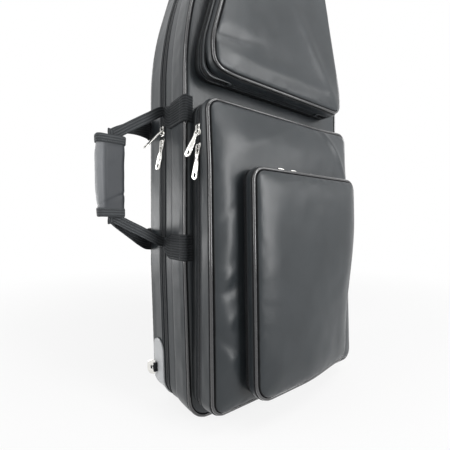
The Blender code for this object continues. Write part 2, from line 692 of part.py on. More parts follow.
def handle_loop(name, side, root, necks, root_half, half_in_grip, straight, parent):
    """One loop, from its root at the upper neck through the grip to its root at the lower neck."""
    straight_share = straight / (root.x - grip_x)
    in_grip_y = PARTING_Y + side * (LOOP_GAP + WEBBING) / 2
    rows = []
    grip_ends = (GRIP_CENTRE_HEIGHT + GRIP_LENGTH / 2, GRIP_CENTRE_HEIGHT - GRIP_LENGTH / 2)
    for neck, grip_end in zip(necks, grip_ends):
        half = [
            (Vector((root.x + (grip_x - root.x) * out, neck + (grip_end - neck) * drop)), out)
            for out, drop in LOOP_SHARES
        ]
        rows += half if not rows else half[::-1]
    sections = []
    for i, (point, out) in enumerate(rows):
        before, after = rows[max(i - 1, 0)][0], rows[min(i + 1, len(rows) - 1)][0]
        run = (after - before).normalized()
        width = root_half + (half_in_grip - root_half) * out
        edge = Vector((-run.y, run.x)) * width
        closing = max(0, (out - straight_share) / (1 - straight_share))
        middle = root.y + (in_grip_y - root.y) * closing
        half_thick = WEBBING / 2 * (ROOT_THICKNESS_SHARE if out == 0 else 1)
        low, high = middle - half_thick, middle + half_thick
        a, b = point - edge, point + edge
        sections.append([(a.x, low, a.y), (b.x, low, b.y), (b.x, high, b.y), (a.x, high, a.y)])
    return piece(name, loft(sections), "webbing", parent)


front_handle = pivot("front_handle_hinge", (*front_root, 0), lid)
rear_handle = pivot("rear_handle_hinge", (*rear_root, 0))
front_half = grip_half_inside - GRIP_SIDE_GAP
handle_loop("front_handle_loop", -1, front_root, front_necks, NECK_HALF_HEIGHT, front_half, LOOP_STRAIGHT,
            front_handle)
handle_loop("rear_handle_loop", 1, rear_root, rear_necks, ANCHOR_HALF_HEIGHT, front_half - REAR_LOOP_NARROWER,
            REAR_LOOP_STRAIGHT, rear_handle)

# Grip wrap and its bindings: open at the back, so that the rear loop can leave it
GRIP_CORNER_SHARE = 0.45
GRIP_MOUTH = 0.0030


def wrap_outline(half, front, back, wall, radius):
    """A C round the loops, open towards +Y."""
    inner, inner_radius = half - wall, radius - wall
    outline = [(grip_x + half, back)]
    for side, start, end in ((1, 0, -pi / 2), (-1, -pi / 2, -pi)):
        centre_x = grip_x + side * (half - radius)
        outline += arc_points(centre_x, front + radius, radius, radius, start, end, SHOULDER_STEPS)
    outline += [(grip_x - half, back), (grip_x - inner, back)]
    for side, start, end in ((-1, -pi, -pi / 2), (1, -pi / 2, 0)):
        centre_x = grip_x + side * (inner - inner_radius)
        outline += arc_points(centre_x, front + radius, inner_radius, inner_radius, start, end, SHOULDER_STEPS)
    return outline + [(grip_x + inner, back)]


loops_half = LOOP_GAP / 2 + WEBBING
wrap_front = PARTING_Y - loops_half - CLEARANCE - GRIP_WALL
wrap_back = PARTING_Y + loops_half + GRIP_MOUTH
grip_low = GRIP_CENTRE_HEIGHT - GRIP_LENGTH / 2
grip_high = GRIP_CENTRE_HEIGHT + GRIP_LENGTH / 2
corner = GRIP_CORNER_SHARE * (wrap_back - wrap_front)
outline = wrap_outline(GRIP_WIDTH / 2, wrap_front, wrap_back, GRIP_WALL, corner)
piece("grip_wrap", upright(outline, grip_low, grip_high), "grip_vinyl", front_handle)
out = CLEARANCE + BINDING_THICK
outline = wrap_outline(GRIP_WIDTH / 2 + out, wrap_front - out, wrap_back, BINDING_THICK, corner + out)
for name, low in (("grip_binding_upper", grip_high - BINDING_HEIGHT), ("grip_binding_lower", grip_low)):
    piece(name, upright(outline, low, low + BINDING_HEIGHT), "webbing", front_handle)

# Corner guards: moulded shells round the bottom corners of the back shell
GUARD_TOP_SHARES = ((1.0, 0.45), (0.93, 0.80), (0.80, 1.0))
guard_low_y, guard_high_y = back_rim + GUARD_EDGE, BACK_Y - PIPING_SEAT - GUARD_EDGE
for name, side in (("corner_guard_left", -1), ("corner_guard_right", 1)):
    rows = [(*beside(CASE, side, GUARD_TOP * height_share), width_share)
            for height_share, width_share in GUARD_TOP_SHARES]
    lower = [(point, normal, 1) for point, normal in CASE
             if side * point.x > 0 and point.y <= BOTTOM_RADIUS and -normal.y < cos(GUARD_LEAST_ANGLE)]
    rows += sorted(lower, key=lambda row: -row[0].y)
    middle, half = (guard_low_y + guard_high_y) / 2, (guard_high_y - guard_low_y) / 2
    sections = []
    for point, normal, width_share in rows:
        low, high = middle - half * width_share, middle + half * width_share
        corners = [(-CLEARANCE, low), (-CLEARANCE, high)]
        corners += [(inset - GUARD_THICK, y) for inset, y in corners[::-1]]
        sections.append([at((point, normal), inset, y) for inset, y in corners])
    piece(name, loft(sections), "guard_plastic")

# D-rings, each held by a loop of webbing
RING_HEIGHT = 0.0445
RING_DEPTH_SHARE = 1.15
RING_NEAR_RADIUS_SHARE = 0.22
RING_FAR_RADIUS_SHARE = 0.60
RING_REST = radians(50)
ring_y = BACK_Y - RING_FROM_BACK
for name, side in (("left", -1), ("right", 1)):
    point, normal = beside(CASE, side, RING_HEIGHT)
    run = Vector((-normal.y, normal.x))
    bar = point + normal * (GUARD_THICK + 2 * CLEARANCE + TAB_FOOT)
    around = RING_WIRE + CLEARANCE
    fold = arc_points(0, 0, around, around, -pi / 2, pi / 2, POCKET_CORNER_STEPS)
    section = band([(-TAB_FOOT, -around)] + fold + [(-TAB_FOOT, around)], -TAB_THICK)
    sections = []
    for shift in (-TAB_HALF_WIDTH, TAB_HALF_WIDTH):
        places = [bar + run * shift + normal * outward for outward, _ in section]
        sections.append([(place.x, ring_y + y, place.y) for place, (_, y) in zip(places, section)])
    piece(name + "_ring_tab", loft(sections), "webbing")

    depth = RING_HALF_WIDTH * RING_DEPTH_SHARE
    corners = [(0, -RING_HALF_WIDTH, RING_NEAR_RADIUS_SHARE)]
    corners += [(depth, -RING_HALF_WIDTH, RING_FAR_RADIUS_SHARE)]
    corners += [(outward, -shift, share) for outward, shift, share in corners[::-1]]
    wire = []
    for outward, shift, share in corners:
        place = bar + normal * outward + run * shift
        wire.append((place.x, place.y, RING_HALF_WIDTH * share, SHOULDER_STEPS))
    turns = [2 * pi * k / PIPING_SIDES for k in range(PIPING_SIDES)]
    section = [(RING_WIRE * cos(turn), ring_y + RING_WIRE * sin(turn)) for turn in turns]
    shape = strip(rounded(wire), section, True)
    swing = Matrix.Rotation(RING_REST, 4, Vector((run.x, 0, run.y)))
    bar_place = Vector((bar.x, ring_y, bar.y))
    swing = Matrix.Translation(bar_place) @ swing @ Matrix.Translation(-bar_place)
    bmesh.ops.transform(shape, matrix=swing, verts=shape.verts)
    hinge = pivot(name + "_ring_hinge", tuple(bar_place))
    piece(name + "_d_ring", shape, "nickel", hinge)

# Fitted tray: a moulded block with a lane for each joint of the instrument and two wells above them
tray_front = PARTING_Y + TRAY_BELOW_PARTING
tray_back = BACK_Y - lining
lane_floor = tray_back - LANE_FLOOR
LANE_SIDE_SHARE = 0.45
BELL_SHARES = ((0.0, 0.55), (0.35, 0.62), (0.75, 0.75), (0.92, 1.0), (1.0, 1.0))
LONG_SHARES = ((0.0, 0.80), (0.5, 0.90), (1.0, 1.0))
WING_SHARES = ((0.0, 1.0), (0.4, 1.0), (1.0, 0.7))
BOOT_SHARES = ((0.0, 1.0), (0.8, 1.0), (1.0, 0.8))
WELL_SHARES = ((0.0, 1.0), (1.0, 1.0))


def lane(cutters, centre_x, bottom, width, length, floor_y, width_shares):
    """A trough that holds one joint, to be cut from the tray."""
    mouth = tray_front - CUT_OVERRUN
    side_end = tray_front + (floor_y - tray_front) * LANE_SIDE_SHARE
    sections = []
    for height_share, width_share in width_shares:
        half = width / 2 * width_share
        bowl = arc_points(centre_x, side_end, half, floor_y - side_end, pi, 0, POCKET_CORNER_STEPS)
        outline = [(centre_x - half, mouth)] + bowl + [(centre_x + half, mouth)]
        sections.append([(x, y, bottom + length * height_share) for x, y in outline])
    loft(sections, into=cutters)


lanes = (
    (BELL_WIDTH, BELL_LENGTH, BELL_SHARES),
    (LONG_WIDTH, LONG_LENGTH, LONG_SHARES),
    (WING_WIDTH, WING_LENGTH, WING_SHARES),
    (BOOT_WIDTH, BOOT_LENGTH, BOOT_SHARES),
)
inside_width = 2 * (HALF_WIDTH - lining)
lane_gap = (inside_width - sum(width for width, _, _ in lanes)) / (len(lanes) + 1)
cutters = bmesh.new()
lane_left = lane_gap - inside_width / 2
for width, length, shares in lanes:
    lane(cutters, lane_left + width / 2, LANE_BOTTOM, width, length, lane_floor, shares)
    lane_left += width + lane_gap
well_floor = tray_front + WELL_DEPTH
bell_well_x = -inside_width / 2 + lane_gap + BELL_WIDTH / 2
boot_well_x = inside_width / 2 - lane_gap - BOOT_WIDTH / 2
WELL_WIDTH_SHARE = 0.75
for centre_x, below, length, width in (
    (bell_well_x, BELL_LENGTH, BELL_WELL_LENGTH, BELL_WIDTH * WELL_WIDTH_SHARE),
    (boot_well_x, BOOT_LENGTH, BOOT_WELL_LENGTH, BOOT_WIDTH * WELL_WIDTH_SHARE),
):
    lane(cutters, centre_x, LANE_BOTTOM + below + WELL_GAP, width, length, well_floor, WELL_SHARES)
block = bucket(CASE, [(lining, tray_back), (lining, tray_front)])
piece("fitted_tray", with_boolean(block, cutters, "DIFFERENCE"), "plush")
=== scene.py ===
from math import cos, exp, pi, radians, sin, sqrt, tan

import bmesh
import bpy
from mathutils import Matrix, Vector, noise


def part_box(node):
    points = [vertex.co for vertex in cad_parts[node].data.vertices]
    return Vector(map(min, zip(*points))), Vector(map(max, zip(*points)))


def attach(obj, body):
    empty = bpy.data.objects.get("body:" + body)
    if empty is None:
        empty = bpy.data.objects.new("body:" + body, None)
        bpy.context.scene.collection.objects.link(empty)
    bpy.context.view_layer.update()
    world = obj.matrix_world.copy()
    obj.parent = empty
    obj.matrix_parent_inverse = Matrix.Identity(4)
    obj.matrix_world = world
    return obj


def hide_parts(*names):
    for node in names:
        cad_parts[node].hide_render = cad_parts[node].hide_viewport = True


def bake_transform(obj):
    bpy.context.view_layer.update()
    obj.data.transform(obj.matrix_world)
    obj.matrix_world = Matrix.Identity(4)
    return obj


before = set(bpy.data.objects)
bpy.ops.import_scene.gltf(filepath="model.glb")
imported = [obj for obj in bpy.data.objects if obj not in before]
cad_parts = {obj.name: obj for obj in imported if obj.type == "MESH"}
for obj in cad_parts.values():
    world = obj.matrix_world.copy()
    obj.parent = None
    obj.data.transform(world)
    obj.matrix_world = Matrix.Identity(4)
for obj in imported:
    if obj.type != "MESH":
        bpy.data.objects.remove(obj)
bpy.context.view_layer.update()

# Camera: a wide lens close to the left front edge of the standing case, level, at a third of its height.
LENS, SENSOR, NEAREST = 24.0, 36.0, 0.01
CAMERA_PLACE = Vector((-0.383, -0.481, 0.284))
VIEW_ALONG = Vector((0.591, 0.807, 0.0))


def linked(name, data):
    """A new object in the scene."""
    made = bpy.data.objects.new(name, data)
    bpy.context.scene.collection.objects.link(made)
    return made


camera_data = bpy.data.cameras.new("camera")
camera_data.lens, camera_data.sensor_width, camera_data.clip_start = LENS, SENSOR, NEAREST
camera = linked("camera", camera_data)
camera.location = CAMERA_PLACE
camera.rotation_euler = VIEW_ALONG.to_track_quat("-Z", "Y").to_euler()
bpy.context.scene.camera = camera
bpy.context.scene.view_settings.view_transform = "Standard"


# Fabric of the case: a grey satin nylon, laminated to foam. Its weave repeats at a little under a millimetre,
# it has a soft sheen, and handling has left it slightly uneven.
OBJECT_OUTPUT, MIXED_COLOUR_OUTPUT = 3, 2


class Thread:
    """One output of a material's nodes. Arithmetic on it adds Math nodes."""

    def __init__(self, tree, socket=None):
        self.tree, self.socket = tree, socket

    def node(self, kind, settings=None, sockets=None, take=0):
        """A node of any kind: its settings first, then the values or links of its sockets."""
        made = self.tree.nodes.new("ShaderNode" + kind)
        for key, value in (settings or {}).items():
            setattr(made, key, value)
        for key, value in (sockets or {}).items():
            if isinstance(value, Thread):
                self.tree.links.new(value.socket, made.inputs[key])
            else:
                made.inputs[key].default_value = value
        return Thread(self.tree, made.outputs[take])

    def maths(self, operation, a, b=0.0):
        """A Math node on one or two values."""
        return self.node("Math", {"operation": operation}, {0: a, 1: b})

    def split(self):
        """The x, y and z of a place."""
        made = self.tree.nodes.new("ShaderNodeSeparateXYZ")
        self.tree.links.new(self.socket, made.inputs[0])
        return [Thread(self.tree, socket) for socket in made.outputs]

    def __add__(self, other):
        return self.maths("ADD", self, other)

    def __sub__(self, other):
        return self.maths("SUBTRACT", self, other)

    def __mul__(self, other):
        return self.maths("MULTIPLY", self, other)

    def __rsub__(self, other):
        return self.maths("SUBTRACT", other, self)

    __radd__, __rmul__ = __add__, __mul__


def finish(name, colour, roughness, metallic=0.0, **fixed):
    """A new material, its first thread and its shader; fixed holds sockets that are the same everywhere."""
    made = bpy.data.materials.new(name)
    made.use_nodes = True
    shader = made.node_tree.nodes["Principled BSDF"]
    shader.inputs["Base Color"].default_value = (*colour, 1)
    shader.inputs["Roughness"].default_value = roughness
    shader.inputs["Metallic"].default_value = metallic
    for key, value in fixed.items():
        shader.inputs[key.replace("_", " ")].default_value = value
    return made, Thread(made.node_tree), shader


def tinted(thread, amount, dark, light):
    """A colour between two, by an amount from 0 to 1; each is three numbers or a colour that varies."""
    dark, light = (colour if isinstance(colour, Thread) else (*colour, 1) for colour in (dark, light))
    return thread.node("Mix", {"data_type": "RGBA"}, {"Factor": amount, "A": dark, "B": light}, MIXED_COLOUR_OUTPUT)


def dressed(thread, shader, colour=None, roughness=None, height=None, depth=0.001, bump=1.0):
    """Joins what varies over a surface to its shader."""
    if colour is not None:
        thread.tree.links.new(colour.socket, shader.inputs["Base Color"])
    if roughness is not None:
        thread.tree.links.new(roughness.socket, shader.inputs["Roughness"])
    if height is not None:
        raised = thread.node("Bump", {}, {"Strength": bump, "Distance": depth, "Height": height})
        thread.tree.links.new(raised.socket, shader.inputs["Normal"])


def woven(thread, pitch_across, pitch_along):
    """The two sine waves of a plain weave on the piece's own UV map, which is in metres."""
    across, along, _ = thread.node("UVMap", {"uv_map": "cloth"}).split()
    return (thread.maths("SINE", across * (2 * pi / pitch_across)),
            thread.maths("SINE", along * (2 * pi / pitch_along)))


def own_places(thread):
    """Object coordinates, in metres."""
    return thread.node("TexCoord", take=OBJECT_OUTPUT)


def clouds(thread, size, detail=3.0):
    """Soft noise on object coordinates whose spots are about size across, in metres."""
    return thread.node("TexNoise", {}, {"Vector": own_places(thread), "Scale": 1 / size, "Detail": detail})


NYLON_DARK, NYLON_LIGHT = (0.013, 0.016, 0.018), (0.027, 0.032, 0.036)
NYLON_ROUGHNESS, NYLON_WEAVE = 0.36, (0.0009, 0.0007)
nylon, thread, shader = finish("satin_nylon", NYLON_LIGHT, NYLON_ROUGHNESS, Specular_IOR_Level=0.38,
                               Sheen_Weight=0.06, Sheen_Roughness=0.35)
shader.inputs["Sheen Tint"].default_value = (0.8, 0.82, 0.88, 1)
across, along = woven(thread, *NYLON_WEAVE)
handling = clouds(thread, 0.06)
dressed(thread, shader, tinted(thread, handling * 0.8 + across * along * 0.12 + 0.1, NYLON_DARK, NYLON_LIGHT),
        handling * 0.14 + (NYLON_ROUGHNESS - 0.07),
        across * along * 0.09 + clouds(thread, 0.0025) * 0.8 + clouds(thread, 0.028) * 3.0, 0.00012, 0.8)

# Thin black nylon: the pocket walls, and the strip that holds every piping in its seam. It is plain woven
# and slightly creased. Its darkness is partly the cloth's own black and partly painted shade, for the deep
# gaps between pockets and the grooves beside each piping and zip tape.
WALL_DARK, WALL_LIGHT = (0.006, 0.007, 0.008), (0.015, 0.017, 0.018)
black_nylon_and_painted_shade, thread, shader = finish("thin_black_nylon_and_painted_shade", WALL_LIGHT, 0.50, Specular_IOR_Level=0.22)
across, along = woven(thread, *NYLON_WEAVE)
creased = clouds(thread, 0.02)
dressed(thread, shader, tinted(thread, creased * 0.8 + across * along * 0.1, WALL_DARK, WALL_LIGHT),
        creased * 0.12 + 0.48, across * along * 0.08 + creased * 0.8, 0.0002, 0.8)

# Zip tape: woven tape in a greyer black than the walls. It holds a coil along one edge and is sewn down along
# the other.
ZIP_DARK, ZIP_LIGHT = (0.018, 0.020, 0.022), (0.040, 0.043, 0.047)
tape_cloth, thread, shader = finish("woven_zip_tape", ZIP_LIGHT, 0.75, Specular_IOR_Level=0.3)
across, along = woven(thread, 0.0011, 0.0006)
dressed(thread, shader, tinted(thread, clouds(thread, 0.02) * 0.7 + across * 0.15, ZIP_DARK, ZIP_LIGHT), None,
        across * along * 0.4, 0.0002, 0.8)

# Lining: short-pile plush over foam, with a soft uneven nap. It lines both halves and covers the tray and
# the pad.
PLUSH_DARK, PLUSH_LIGHT = (0.055, 0.055, 0.066), (0.105, 0.105, 0.125)
plush, thread, shader = finish("plush_lining", PLUSH_LIGHT, 0.95, Sheen_Weight=0.6, Sheen_Roughness=0.5)
pile = clouds(thread, 0.0022, 4.0)
nap = clouds(thread, 0.05)
dressed(thread, shader, tinted(thread, nap * 0.6 + pile * 0.4, PLUSH_DARK, PLUSH_LIGHT), None, pile, 0.0008, 0.7)


# Back shell: foam board laminated to nylon, sewn as a pan. Its side wall is one long strip, joined to the
# back panel under the piping, and its mouth is turned in to the plush lining.
HALF_WIDTH, CASE_HEIGHT = 0.180, 0.770
PARTING_Y, LID_Y, BACK_Y = -0.037, -0.106, 0.014
WALL, MAIN_ZIP_HALF, PIPING_RADIUS, PIPING_SEAT = 0.007, 0.0070, 0.0024, 0.0034
TAPER, TAPER_RUN, SHOULDER_HEIGHT = radians(16), 0.500, 0.500
FOOT_DRAWN_IN, FOOT_DRAWN_FROM = 0.008, 0.225


def arcs(corners, closed_by):
    """Fine points and outward normals along some of a polygon's rounded corners, (x, z, radius) each."""
    before, after = closed_by
    line = [before] + corners + [after]
    fine = []
    for (ax, az, _), (x, z, radius), (bx, bz, _) in zip(line, corners, line[2:]):
        corner = Vector((x, z))
        incoming, outgoing = (corner - Vector((ax, az))).normalized(), (Vector((bx, bz)) - corner).normalized()
        turn = incoming.angle(outgoing)
        start = corner - incoming * radius * tan(turn / 2)
        normal = Vector((incoming.y, -incoming.x))
        centre = start - normal * radius
        steps = max(6, int(radius * turn / 0.002))
        for step in range(steps + 1):
            here = Matrix.Rotation(turn * step / steps, 2) @ normal
            fine.append((centre + here * radius, here))
    return fine


def spaced(fine, count):
    """count + 1 samples at even distances along fine points and normals."""
    reached = [0.0]
    for (a, _), (b, _) in zip(fine, fine[1:]):
        reached.append(reached[-1] + (b - a).length)
    samples, k = [], 0
    for step in range(count + 1):
        goal = reached[-1] * step / count
        while k < len(fine) - 2 and reached[k + 1] < goal:
            k += 1
        span = reached[k + 1] - reached[k]
        share = min(1.0, max(0.0, (goal - reached[k]) / span)) if span > 1e-9 else 0.0
        (a, m), (b, n) = fine[k], fine[k + 1]
        samples.append((a.lerp(b, share), m.lerp(n, share).normalized()))
    return samples


class Cut:
    """The outline of a panel as a cutter sees it: rungs up its sides, columns along its two ends."""

    def __init__(self, right, left, rungs, columns):
        self.rungs, self.columns = rungs, columns
        self.swell = lambda point, normal, y: 0.0
        right_side = spaced(arcs(right, (left[-1], left[0])), rungs)
        left_side = spaced(arcs(left, (right[-1], right[0])), rungs)
        top = [(right_side[-1][0].lerp(left_side[0][0], k / columns), Vector((0, 1))) for k in range(1, columns)]
        bottom = [(left_side[-1][0].lerp(right_side[0][0], k / columns), Vector((0, -1))) for k in range(1, columns)]
        self.samples = right_side + top + left_side + bottom
        self.count = len(self.samples)
        self.reach, total = [], 0.0
        for k, (point, _) in enumerate(self.samples):
            total += (point - self.samples[k - 1][0]).length if k else 0.0
            self.reach.append(total)
        self.length = total + (self.samples[0][0] - self.samples[-1][0]).length

    def at(self, k, inset, y):
        """The place that far inside sample k of the outline, at a depth y, where the cloth swells outwards."""
        point, normal = self.samples[k % self.count]
        inner = point - normal * (inset - self.swell(point, normal, y))
        return Vector((inner.x, y, inner.y))

    def rung(self, m):
        """Ring numbers of the left and right ends of rung m."""
        return self.rungs + self.columns + (self.rungs - m), m


def tapered(left_margin, right_margin, bottom, top, bottom_radius, shoulder_radius, top_radius, shoulder_height):
    """Corners of the right and left sides of an outline that narrows upwards."""
    sides = []
    for side, margin in ((1, right_margin), (-1, left_margin)):
        shoulder = shoulder_height + (TAPER_RUN - margin) * tan(TAPER / 2)
        half = HALF_WIDTH - margin
        lean = (top - shoulder) * tan(TAPER)
        sides.append([(side * half, bottom, bottom_radius), (side * half, shoulder, shoulder_radius),
                      (side * (half - lean), top, top_radius)])
    return sides[0], sides[1][::-1]


def turned_out(name, mesh, sharp=None):
    """An object of a mesh, with its faces turned outwards; edges steeper than sharp degrees stay crisp."""
    shape = bmesh.new()
    shape.from_mesh(mesh)
    bmesh.ops.recalc_face_normals(shape, faces=shape.faces)
    shape.to_mesh(mesh)
    shape.free()
    if sharp:
        mesh.set_sharp_from_angle(angle=radians(sharp))
    return linked(name, mesh)


def stands_for(made, node, body):
    """The piece replaces a CAD node and moves with a body."""
    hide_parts(node)
    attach(made, body)


# A face whose corners are further apart than this along an outline joins the outline's end to its start.
ROUND_THE_START = 0.2


def panel(name, cut, stations, skins, closed=True, sag=None, settle=None):
    """A sewn panel. Each station is (inset, y, skin) round the outline; faces close its first and last.

    sag says how far a point of the cloth is moved, and settle where it then comes to lie.
    """
    places, cloth, faces, skin_of = [], [], [], []
    for inset, y, _ in stations:
        for k in range(cut.count):
            places.append(cut.at(k, inset, y))
            cloth.append((cut.reach[k], y))
    for j in range(len(stations) - 1):
        for k in range(cut.count):
            a, b = j * cut.count + k, j * cut.count + (k + 1) % cut.count
            faces.append(((a, b, b + cut.count, a + cut.count), "side"))
            skin_of.append(stations[j + 1][2])
    for station in (0, len(stations) - 1) if closed else ():
        base, skin = station * cut.count, stations[station][2]
        grid = []
        for m in range(cut.rungs + 1):
            left, right = cut.rung(m)
            if m == 0:
                row = [left % cut.count] + list(range(left + 1, cut.count)) + [right]
            elif m == cut.rungs:
                row = [left] + list(range(left - 1, right, -1)) + [right]
            else:
                row = [left % cut.count]
                start, end = places[base + left % cut.count], places[base + right]
                for k in range(1, cut.columns):
                    row.append(len(places) - base)
                    places.append(start.lerp(end, k / cut.columns))
                    cloth.append(None)
                row.append(right)
            grid.append([base + n for n in row])
        for low, high in zip(grid, grid[1:]):
            for k in range(cut.columns):
                faces.append(((low[k], low[k + 1], high[k + 1], high[k]), "face"))
                skin_of.append(skin)
    mesh = bpy.data.meshes.new(name)
    mesh.from_pydata([tuple(place) for place in places], [], [face for face, _ in faces])
    for skin in skins:
        mesh.materials.append(skin)
    cloth_map = mesh.uv_layers.new(name="cloth")
    for polygon, (corners, kind), skin in zip(mesh.polygons, faces, skin_of):
        polygon.material_index = skin
        polygon.use_smooth = True
        reaches = [cloth[n][0] for n in corners] if kind == "side" else [0.0]
        closes = max(reaches) - min(reaches) > ROUND_THE_START
        for loop, n in zip(polygon.loop_indices, polygon.vertices):
            if kind == "face":
                cloth_map.data[loop].uv = (places[n].x, places[n].z)
            else:
                along = cloth[n][0] + (cut.length if closes and cloth[n][0] < ROUND_THE_START else 0.0)
                cloth_map.data[loop].uv = (along, cloth[n][1])
    for vertex, place in zip(mesh.vertices, places):
        moved = place + sag(place) if sag else place
        vertex.co = settle(moved) if settle else moved
    return turned_out(name, mesh)


def between(value, low, high):
    """0 below low, 1 above high, smooth between."""
    share = min(1.0, max(0.0, (value - low) / (high - low)))
    return share * share * (3 - 2 * share)


def edge_distance(place, box):
    """How far a place on a panel is inside the box round its outline."""
    left, right, bottom, top = box
    return min(place.x - left, right - place.x, place.z - bottom, top - place.z)


def arched(place, box, reach):
    """0 at the edge of a box and 1 from reach inside it, steepest at the edge, as a stuffed cloth stands."""
    left, right, bottom, top = box
    across, along = min(place.x - left, right - place.x), min(place.z - bottom, top - place.z)
    across, along = (1 - min(1.0, max(0.0, deep / reach)) for deep in (across, along))
    return (1 - across * across) * (1 - along * along)


def rumple(place, size, seed):
    """Soft noise from -1 to 1 whose folds are about size apart."""
    return noise.noise(place / size + Vector((seed, -seed, seed * 0.5)))


def steps_between(start, end, count):
    """count even steps from start, which is left out, to end."""
    return [start + (end - start) * k / count for k in range(1, count + 1)]


case_right, case_left = tapered(0, 0, 0, CASE_HEIGHT, 0.035, 0.500, 0.070, SHOULDER_HEIGHT)
case_left[-1:] = [(-HALF_WIDTH, FOOT_DRAWN_FROM, 0.500), (FOOT_DRAWN_IN - HALF_WIDTH, 0, 0.035)]
CASE_CUT = Cut(case_right, case_left, 190, 70)
CASE_BOX, BESIDE_SIDE = (-HALF_WIDTH, HALF_WIDTH, 0, CASE_HEIGHT), HALF_WIDTH - 0.05
BACK_TAPE_REACH = 0.0062
NYLON, LINING, STRIP, TAPE = range(4)
PAN_SKINS = [nylon, plush, black_nylon_and_painted_shade, tape_cloth]


def pan(face_y, rim_y, wall, floor_depth, side_rows, tape_reach=0.0, welt_reach=0.0):
    """Stations of a sewn pan: lined inside, round its rim, along its outer wall and over the piping seat.

    The zip's tape is sewn flat on the wall as far as tape_reach from the rim, and a welt beyond it sinks to its
    seam at welt_reach. The black strip shows at the rim, beside the tape, in the seam and under the piping, where
    its dark tone is also painted shade for those grooves.
    """
    outward = 1 if face_y > rim_y else -1
    seat, floor_y, roll = face_y - outward * PIPING_SEAT, face_y - outward * floor_depth, PIPING_RADIUS * 2
    stations = [(wall, floor_y, LINING)] + [(wall, y, LINING) for y in steps_between(floor_y, rim_y, 6)]
    stations += [(wall * 0.75, rim_y - outward * 0.0006, STRIP), (wall * 0.35, rim_y - outward * 0.0007, STRIP)]
    if tape_reach:
        turn_in, tape_end = rim_y + outward * 0.0006, rim_y + outward * tape_reach
        start = rim_y + outward * (tape_reach + 0.0020)
        stations += [(0.0018, rim_y, STRIP), (0.0013, turn_in, TAPE)]
        stations += [(0.0010, y, TAPE) for y in steps_between(turn_in, tape_end, 4)]
        stations += [(0.0003, rim_y + outward * (tape_reach + 0.0002), STRIP),
                     (-0.0002, rim_y + outward * (tape_reach + 0.0009), NYLON), (0.0, start, NYLON)]
        if welt_reach:
            seam = rim_y + outward * welt_reach
            stations += [(0.0012 * n / 6, start + (seam - start) * n / 6, NYLON) for n in range(1, 7)]
            stations += [(0.0017, seam + outward * 0.0004, STRIP), (0.0004, seam + outward * 0.0012, STRIP)]
            start = seam + outward * 0.0016
    else:
        stations += [(0.0004, rim_y, NYLON)]
        start = rim_y
    stations += [(0.0, y, NYLON) for y in steps_between(start, seat - outward * 0.0010, side_rows)]
    stations += [(0.0002, seat, STRIP), (0.0022, seat + outward * 0.0003, STRIP),
                 (roll - 0.0002, seat + outward * 0.0004, STRIP), (roll + 0.0003, face_y - outward * 0.0016, STRIP),
                 (roll + 0.0010, face_y - outward * 0.0007, STRIP), (roll + 0.0018, face_y - outward * 0.0002, NYLON)]
    return stations + [(roll + 0.0050, face_y, NYLON)]


def back_sag(place):
    """The back panel is drawn in along its piping and slightly full in the middle; its walls ripple."""
    if place.y > BACK_Y - 0.002:
        deep = edge_distance(place, CASE_BOX)
        fold = rumple(place, 0.09, 3) * 0.0010 + rumple(place, 0.03, 5) * 0.0004 - 0.0006
        return Vector((0, fold * between(deep, 0.004, 0.03), 0))
    if place.y > back_rim + 0.004 and abs(place.x) > BESIDE_SIDE:
        middle = between(place.y, PARTING_Y + 0.008, PARTING_Y + 0.02) * between(BACK_Y - place.y, 0.003, 0.014)
        push = (rumple(place, 0.06, 8) * 0.0009 + rumple(place, 0.022, 9) * 0.00045 - 0.0007) * middle
        return Vector((push * (1 if place.x > 0 else -1), 0, 0))
    return Vector()


back_rim = PARTING_Y + MAIN_ZIP_HALF
back_stations = pan(BACK_Y, back_rim, WALL, WALL, 12, BACK_TAPE_REACH)
back_cover = panel("back_cover", CASE_CUT, back_stations, PAN_SKINS, sag=back_sag)
stands_for(back_cover, "back_shell", "base")


# Lid shell: the front half, made in the same way and deeper. Beside the zip its wall has a narrow welt,
# then a seam, then the panel that runs to the piping.
LID_TAPE_REACH, WELT_DEPTH = 0.0050, 0.0215


def lid_sag(place):
    """The lid's panel is full in the middle and its side puffs up between its seam and the piping."""
    if place.y < LID_Y + 0.002:
        arch = arched(place, CASE_BOX, 0.045)
        return Vector((0, -0.0030 * arch - rumple(place, 0.10, 13) * 0.0010 * arch, 0))
    past_seam = lid_rim - WELT_DEPTH
    if abs(place.x) > BESIDE_SIDE and place.y < past_seam - 0.001:
        middle = between(past_seam - place.y, 0.0, 0.008) * between(place.y - LID_Y, 0.004, 0.014)
        push = (rumple(place, 0.055, 21) * 0.0010 + rumple(place, 0.02, 22) * 0.0006 + 0.0008) * middle
        return Vector((push * (1 if place.x > 0 else -1), 0, 0))
    return Vector()


lid_rim = PARTING_Y - MAIN_ZIP_HALF
lid_stations = pan(LID_Y, lid_rim, WALL, WALL, 18, LID_TAPE_REACH, WELT_DEPTH)
lid_cover = panel("lid_cover", CASE_CUT, lid_stations, PAN_SKINS, sag=lid_sag)
stands_for(lid_cover, "lid_shell", "lid")


# Piping: a cord wrapped in glossy vinyl strip, caught in the seam at the outer edge of each panel. The
# sewing machine's foot leaves the wrap slightly puckered.
piping_vinyl, thread, shader = finish("glossy_vinyl_piping", (0.016, 0.016, 0.018), 0.20, Coat_Weight=0.9,
                                      Coat_Roughness=0.08)
wear_and_painted_highlight = clouds(thread, 0.012)
dressed(thread, shader, tinted(thread, wear_and_painted_highlight, (0.010, 0.010, 0.011), (0.028, 0.028, 0.031)),
        wear_and_painted_highlight * 0.12 + 0.11, clouds(thread, 0.006), 0.0005, 0.35)
PIPING_SIDES, PIPING_SUNK, PUCKER = 14, 0.0001, 0.04


